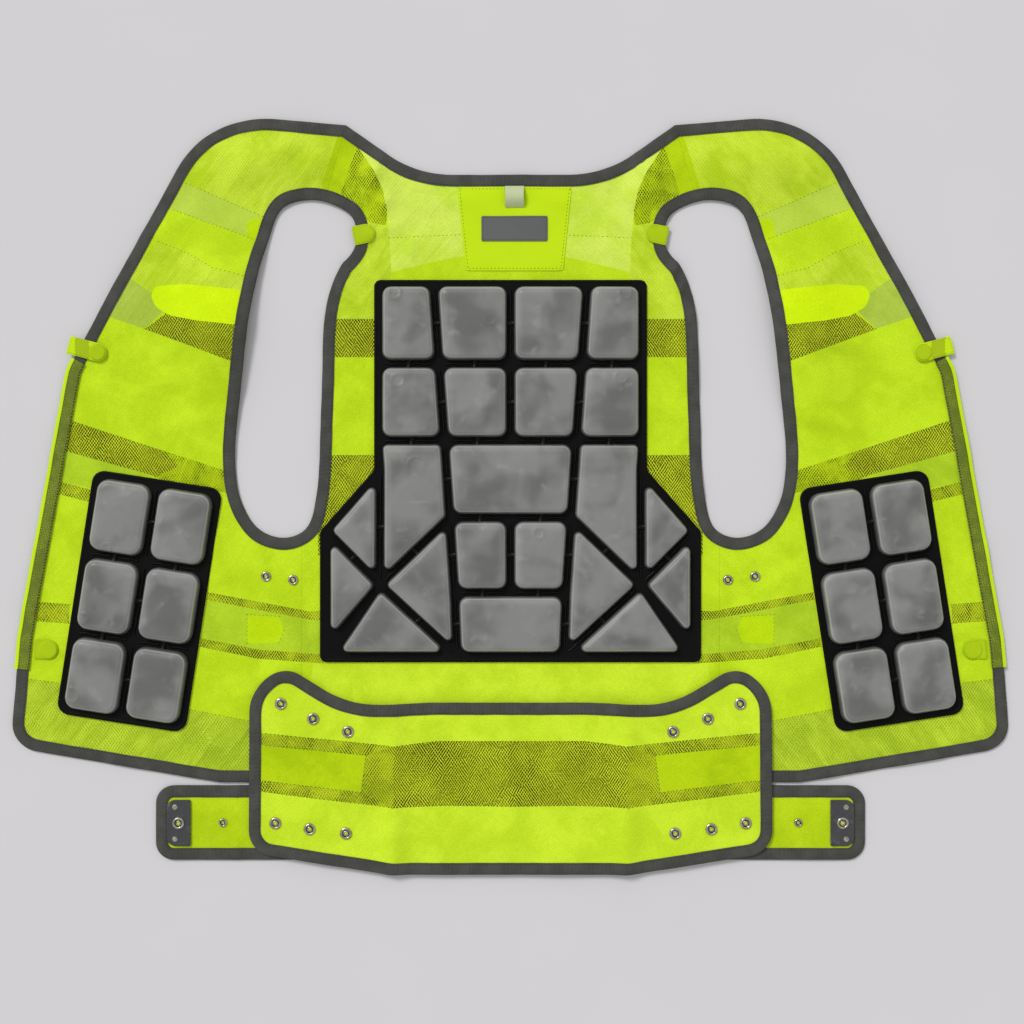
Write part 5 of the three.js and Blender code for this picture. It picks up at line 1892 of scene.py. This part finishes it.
@dataclass
class NeckLabel:
    """The sewn patch below the neck, the bare label on it and the hanging loop."""

    body: Body
    top_width: float = 114.0
    foot_width: float = 97.0
    height: float = 83.5
    shift: float = 4.0
    label_width: float = 66.0
    label_height: float = 25.0
    thick: float = 0.6
    loop_width: float = 19.0
    loop_drop: float = 20.0
    loop_rise: float = 6.0
    ribbon: float = 0.8

    def sewn(
        self, name: str, outline: Points, spacing: tuple[float, float], base: float, margin: float,
        seam: Seam, finishes: Sequence[Finish], slot: str,
    ) -> bpy.types.Object:
        """Builds a thin flat patch that is sewn down all round.

        Args:
            name: Piece name.
            outline: Its outline.
            spacing: Spacing of the points along its edge and inside it.
            base: Height of its underside.
            margin: Edge to stitches.
            seam: Kind of stitch row.
            finishes: Finishes of the patch and of the thread.
            slot: Passed on to Piece.make, which does not use it.

        Returns:
            The new object.
        """
        step, grid = spacing
        flat, tris = triangulate([even(outline, step, True)], [], grid)
        tris = tris[within(flat[tris].mean(axis=1), outline)]
        low = self.body.height(base)(flat)
        shape = Shape()
        shape.slab(flat, tris, low + self.thick, low)
        shape.stitches(closed_row(inset(outline, margin)), self.body.height(base + self.thick), seam, 1)
        return Piece.make(name, shape, finishes, [name], slot)

    def build(self) -> None:
        """Builds patch, label and loop."""
        body = self.body
        top = body.neck_y - body.tape_width - body.gap
        foot = top - self.height
        a, b, s = self.top_width / 2, self.foot_width / 2, self.shift
        patch = rounded([(s + a, top, 1), (s + b, foot, 2), (s - b, foot, 2), (s - a, top, 1)])
        looks = [FACING, DARK_THREAD]
        made = self.sewn("label_patch", patch, (4, 6), body.on_cloth, 2.2, PATCH_SEAM, looks, "facing")
        area = (self.top_width + self.foot_width) / 2 * self.height
        Piece.cloth(made, self.top_width, self.height, area, ["back_panel"])

        w, h = self.label_width / 2, self.label_height / 2
        middle = (top + foot) / 2
        corners = ((s + w, middle + h), (s + w, middle - h), (s - w, middle - h), (s - w, middle + h))
        label = rounded([(x, y, 0.6) for x, y in corners])
        on_patch = body.on_cloth + self.thick + body.gap
        looks = [LABEL_SATIN, TAPE_THREAD]
        made = self.sewn("size_label", label, (2, 4), on_patch, 1.6, LABEL_SEAM, looks, "label")
        area = self.label_width * self.label_height
        Piece.cloth(made, self.label_width, self.label_height, area, ["label_patch"])
        self.loop(top, on_patch)

    def loop(self, top: float, base: float) -> None:
        """Builds the loop: a ribbon bent into a low arch, sewn at both ends.

        Args:
            top: Where its upper end is sewn down.
            base: Height of its foot.
        """
        t = np.linspace(0, 1, 17)
        outer = np.column_stack([self.loop_drop * t, 4 * self.loop_rise * t * (1 - t)])
        foot = base + self.body.drape.rise(np.array([(self.shift, top)]))[0]
        way = unit(np.gradient(outer, axis=0))
        over = outer + np.column_stack([-way[:, 1], way[:, 0]]) * self.ribbon
        half = self.loop_width / 2
        rings = []
        for (y0, z0), (y1, z1), at in zip(outer, over, t):
            bow = half * (1 - 0.05 * math.sin(math.pi * at))
            low, high = max(z0, 0), max(z1, 0.1)
            crown = ((1, 0), (0.9, 0.12), (-0.9, 0.12), (-1, 0))
            upper = [(bow * share, y1, high + lift) for share, lift in crown]
            section = [(-bow, y0, low), (bow, y0, low), *upper]
            rings.append([(self.shift + x, top - y, foot + z) for x, y, z in section])
        shape = Shape()
        shape.sweep(np.array(rings), 0, False)
        for at in (1.5, self.loop_drop - 1.5):
            row = np.array([(self.shift - half * 0.8, top - at), (self.shift + half * 0.8, top - at)])
            up = foot + float(np.interp(at, *outer.T)) + self.ribbon + 0.15
            shape.stitches(row, partial(self.level, up), LOOP_SEAM, 1)
        made = Piece.make("hanging_loop", shape, [RIBBON, CLOTH_THREAD], ["hanging_loop"], "loop")
        run = length_of(outer)
        Piece.cloth(made, run, self.loop_width, run * self.loop_width, ["label_patch"])

    @staticmethod
    def level(height: float, points: Points) -> Points:
        """The same height at each point."""
        return np.full(len(points), height)


@dataclass
class Closure:
    """Hook tape along the front edges and the small tabs of the front edges and armholes."""

    body: Body
    width: float = 15.0
    overhang: float = 2.0
    thick: float = 0.8
    top: float = 426.0
    foot: float = 114.0
    tab_thick: float = 1.2
    margin: float = 1.4
    upper_above: float = 7.0
    upper_overhang: float = 10.0
    lower_above: float = 20.0
    lower_setback: float = 16.0
    arm_tab_back: float = 8.0
    arm_tab_drop: float = 34.0
    # length, width, turn in degrees, and whether its inner end has a raised pad
    tabs: dict[str, tuple[float, float, float, bool]] = field(
        default_factory=lambda: {
            "upper_tab": (39, 18, -15, True), "lower_tab": (24, 20, -3, True),
            "armhole_tab": (22, 19, 12, False),
        }
    )

    def edge_at(self, y: float) -> float:
        """Front edge of the body at a height, on its right side.

        Args:
            y: Distance from the hem.

        Returns:
            Distance from the middle.
        """
        ring = self.body.outline[self.body.outline[:, 0] > 300]
        order = np.argsort(ring[:, 1])
        return float(np.interp(y, ring[order, 1], ring[order, 0]))

    def hook_tape(self, side: Side) -> None:
        """Builds one closure tape: a strip over the edge, a bright margin outside it and two stitch rows.

        Args:
            side: Side of the vest.
        """
        body = self.body
        ring = even(body.outline, 3.0, True)
        keep = (ring[:, 0] * side.value > 300) & (ring[:, 1] > self.foot) & (ring[:, 1] < self.top)
        inwards = (inset(ring, 10) - ring) / 10
        path, step = ring[keep], inwards[keep]
        order = np.argsort(path[:, 1])
        path, step = path[order], step[order]
        shape = Shape()
        base, tall = body.on_tape, self.thick
        inner = self.width - self.overhang
        for lo, hi, finish in ((-self.overhang, self.margin, 1), (self.margin, inner, 0)):
            rise = ((lo, 0), (lo, tall * 0.8), (lo + 0.4, tall), ((lo + hi) / 2, tall))
            fall = ((hi - 0.4, tall), (hi, tall * 0.8), (hi, 0))
            rings = []
            for depth, z in (*rise, *fall):
                spots = path + step * depth
                sunk = 0.0 if depth > 0 else 0.4
                rings.append(np.column_stack([spots, body.height(base + z - sunk)(spots)]))
            stack = np.stack(rings, 1)
            shape.sweep(stack if side is Side.RIGHT else stack[:, ::-1], finish, False)
        for depth, seam, thread in ((2.2, HOOK_SEAM, 2), (inner - 1.0, INNER_HOOK_SEAM, 3)):
            shape.stitches(path + step * depth, body.height(base + tall), seam, thread)
        name = f"closure_tape_{side.word}"
        made = Piece.make(name, shape, [HOOK_TAPE, FACING, DARK_THREAD, TAPE_THREAD], [name], "closure")
        run = length_of(path)
        Piece.cloth(made, run, self.width, run * self.width, [f"front_binding_{side.word}"])

    def tab(self, name: str, side: Side, at: tuple[float, float], base: float, on: str) -> None:
        """Builds a tongue with a round inner end, stitched round, with a raised pad there where it has one.

        Args:
            name: Which tab.
            side: Side of the vest.
            at: Its middle, on the right half.
            base: Height of its foot.
            on: What it rests on.
        """
        length, width, turn, pad = self.tabs[name]
        l, w = length / 2, width / 2
        outline = rounded([(-l, w, w), (-l, -w, w), (l, -w, 1), (l, w, 1)], 0.05)
        outline = (turned(even(outline, 1.6, True), -turn) + at) * (side.value, 1)
        outline = outline if signed_area(outline) > 0 else outline[::-1]
        low = self.body.height(base)
        centre = (turned(np.array([(-l + w, 0.0)]), -turn) + at)[0] * (side.value, 1)
        cuts = [circle(36) * (w + out) + centre for out in (-2.4, -1.2, -0.3)] if pad else []
        flat, tris = triangulate([outline, *cuts], [inset(outline, 0.9)], 2)
        tris = tris[within(flat[tris].mean(axis=1), outline)]

        def top(points: Points) -> Points:
            """Height of the tongue's face: a soft edge, and a round pad on its inner end.

            Args:
                points: Places on the tongue.

            Returns:
                One height for each place.
            """
            edge = np.clip(distance_to(points, outline) / 0.9, 0, 1)
            far = np.hypot(*(points - centre).T)
            raised = 1.2 * np.clip((w - 0.3 - far) / 1.6, 0, 1) ** 0.5 if pad else 0
            return low(points) + self.tab_thick * (0.6 + 0.4 * edge) + raised

        middle = flat[tris].mean(axis=1)
        looks = np.full(len(tris), 0 if name == "upper_tab" else 2)
        if name == "upper_tab":
            reach = (middle - centre)[:, 0] * side.value
            looks[(reach > w - 1) & (reach < w + 13)] = 3
            looks[np.hypot(*(middle - centre).T) < w - 0.3] = 2
        shape = Shape()
        shape.slab(flat, tris, top(flat), low(flat), looks)
        shape.stitches(closed_row(inset(outline, 1.5)), top, TAB_SEAM, 1)
        full = f"{name}_{side.word}"
        made = Piece.make(full, shape, [FACING, CLOTH_THREAD, TAB_CLOTH, OLIVE_TAB], [full], "facing")
        Piece.cloth(made, length, width, length * width * 0.95, [f"{on}_{side.word}"])

    def build(self) -> None:
        """Builds both closure tapes and the six tabs."""
        body = self.body
        upper_y, lower_y = self.top + self.upper_above, self.foot + self.lower_above
        upper_x = self.edge_at(upper_y) - self.tabs["upper_tab"][0] / 2 + self.upper_overhang
        lower_x = self.edge_at(lower_y) - self.lower_setback - self.tabs["lower_tab"][0] / 2
        arm = (body.arm_setback - self.arm_tab_back, body.arm_top - self.arm_tab_drop)
        on_hooks = body.on_tape + self.thick + body.gap
        for side in Side:
            self.hook_tape(side)
            self.tab("upper_tab", side, (upper_x, upper_y), on_hooks, "closure_tape")
            self.tab("lower_tab", side, (lower_x, lower_y), body.on_cloth, "front_panel")
            self.tab("armhole_tab", side, arm, body.on_tape, "armhole_binding")


@dataclass
class PressStuds:
    """Nickel-plated press studs of the waist panel, the strap, its plates and the sides."""

    body: Body
    waist: Waist
    radius: float = 6.0
    small_radius: float = 4.3
    side_radius: float = 5.1
    strap_share: float = 0.45
    plate_rise: float = 1.3
    waist_places: tuple[tuple[str, float, float], ...] = (
        ("upper_outer", 0.876, 0.988), ("upper_middle", 0.753, 0.901), ("upper_inner", 0.62, 0.826),
        ("lower_outer", 0.897, 0.299), ("lower_middle", 0.766, 0.264), ("lower_inner", 0.628, 0.24),
    )
    side_places: tuple[tuple[str, float, float], ...] = (("outer", 0.744, 0.843), ("inner", 0.52, 0.829))

    def stud(self, name: str, radius: float, x: float, y: float, z: float) -> None:
        """Builds one stud: a rolled rim round a well darkened with painted shade, with a spring ring and a
        bottom in the green facing colour, a painted reflection of the cloth.

        Args:
            name: Piece name.
            radius: Its radius.
            x: Distance from the middle.
            y: Distance from the hem.
            z: Height of its foot.
        """
        k = radius / 6
        rim = [
            (5.6, 0.0), (6.0, 0.3), (6.0, 0.9), (5.7, 1.5), (5.0, 1.9), (4.2, 1.9), (3.7, 1.5), (3.5, 0.6),
            (3.5, 0.1),
        ]
        well = [(3.45, 0.1), (3.45, 0.25), (2.7, 0.3)]
        spring = [(2.7, 0.28), (2.6, 1.0), (2.1, 1.25), (1.6, 1.1), (1.5, 0.35), (0.6, 0.3)]
        shape = Shape()
        centre = np.array((x, y, z))
        shape.lathe([(r * k, h) for r, h in rim], centre, 44, 0)
        # The well's darker metal is painted shade
        shape.lathe([(r * k, h + 0.12) for r, h in well], centre, 44, 1)
        shape.lathe([(r * k, h + 0.14) for r, h in spring], centre, 32, 0)
        # The green facing colour in the middle is a painted reflection of the cloth
        shape.lathe([(1.5 * k, 0.5), (1.4 * k, 0.62), (0.4 * k, 0.64)], centre, 24, 2)
        Piece.make(name, shape, [NICKEL, STUD_WELL_SHADE, FACING], [name], "stud", 60)

    def build(self) -> None:
        """Builds all the studs."""
        body, waist = self.body, self.waist
        on_waist = body.on_tape + body.cloth_base + body.cloth + body.gap
        foot = waist.above - waist.tall
        for side in Side:
            for word, x, y in self.waist_places:
                spot = np.array([(side.value * x * waist.width / 2, foot + y * waist.tall)])
                z = on_waist - body.gap + float(waist.panel_rise(spot)[0])
                self.stud(f"waist_stud_{word}_{side.word}", self.radius, *spot[0], z)
            for word, x, y in self.side_places:
                across = body.arm_setback + x * body.arm_width
                spot = np.array([(side.value * across, y * body.side_length)])
                z = float(body.height(body.on_cloth - body.gap)(spot)[0])
                self.stud(f"side_stud_{word}_{side.word}", self.side_radius, *spot[0], z)
            near = waist.width / 2
            x = side.value * (near + self.strap_share * (waist.plate_x - waist.plate_width / 2 - near))
            z = body.on_cloth - body.gap + float(waist.strap_rise(np.array([(x, 0.0)]))[0])
            self.stud(f"strap_stud_{side.word}", self.small_radius, x, waist.strap_y, z)
            x, z = side.value * waist.plate_x, body.on_tape + self.plate_rise
            self.stud(f"plate_stud_{side.word}", self.radius, x, waist.strap_y, z)


@dataclass
class Studio:
    """Plain pale floor, soft overhead light, and the camera straight above, as in the photograph."""

    middle: tuple[float, float] = (0.0015, -0.0155)
    sky: float = 0.6
    sun: float = 1.68
    from_left: float = 30.0
    from_top: float = 32.0
    softness: float = 18.0

    def build(self) -> None:
        """Builds floor, light and camera."""
        mesh = bpy.data.meshes.new("floor")
        mesh.from_pydata([(-6, -6, 0), (6, -6, 0), (6, 6, 0), (-6, 6, 0)], [], [(0, 1, 2, 3)])
        mesh.materials.append(StudioPaper("studio_paper").material())
        floor = placed("floor", mesh)
        world = bpy.data.worlds.new("studio")
        world.use_nodes = True
        world.node_tree.nodes["Background"].inputs[0].default_value = linear("#ffffff")
        world.node_tree.nodes["Background"].inputs[1].default_value = self.sky
        bpy.context.scene.world = world
        lamp = bpy.data.lights.new("softbox", "SUN")
        lamp.energy, lamp.angle = self.sun, math.radians(self.softness)
        softbox = placed("softbox", lamp)
        softbox.rotation_euler = (math.radians(-self.from_top), math.radians(-self.from_left), 0)
        lens = bpy.data.cameras.new("camera")
        lens.sensor_width = 36
        lens.lens = 36 * CAMERA_HEIGHT / VIEW_WIDTH
        camera = placed("camera", lens)
        camera.location = (*self.middle, CAMERA_HEIGHT)
        bpy.context.scene.camera = camera
        bpy.context.scene.view_settings.view_transform = "Standard"


def main() -> None:
    """Builds the vest and the studio."""
    logging.basicConfig(level=logging.INFO, format="%(name)s %(message)s")
    Studio().build()
    body = Body()
    body.build()
    waist = Waist(body)
    waist.build()
    BackPack(body).build()
    FrontPack(body).build()
    NeckLabel(body).build()
    Closure(body).build()
    PressStuds(body, waist).build()


if __name__ == "__main__":
    main()
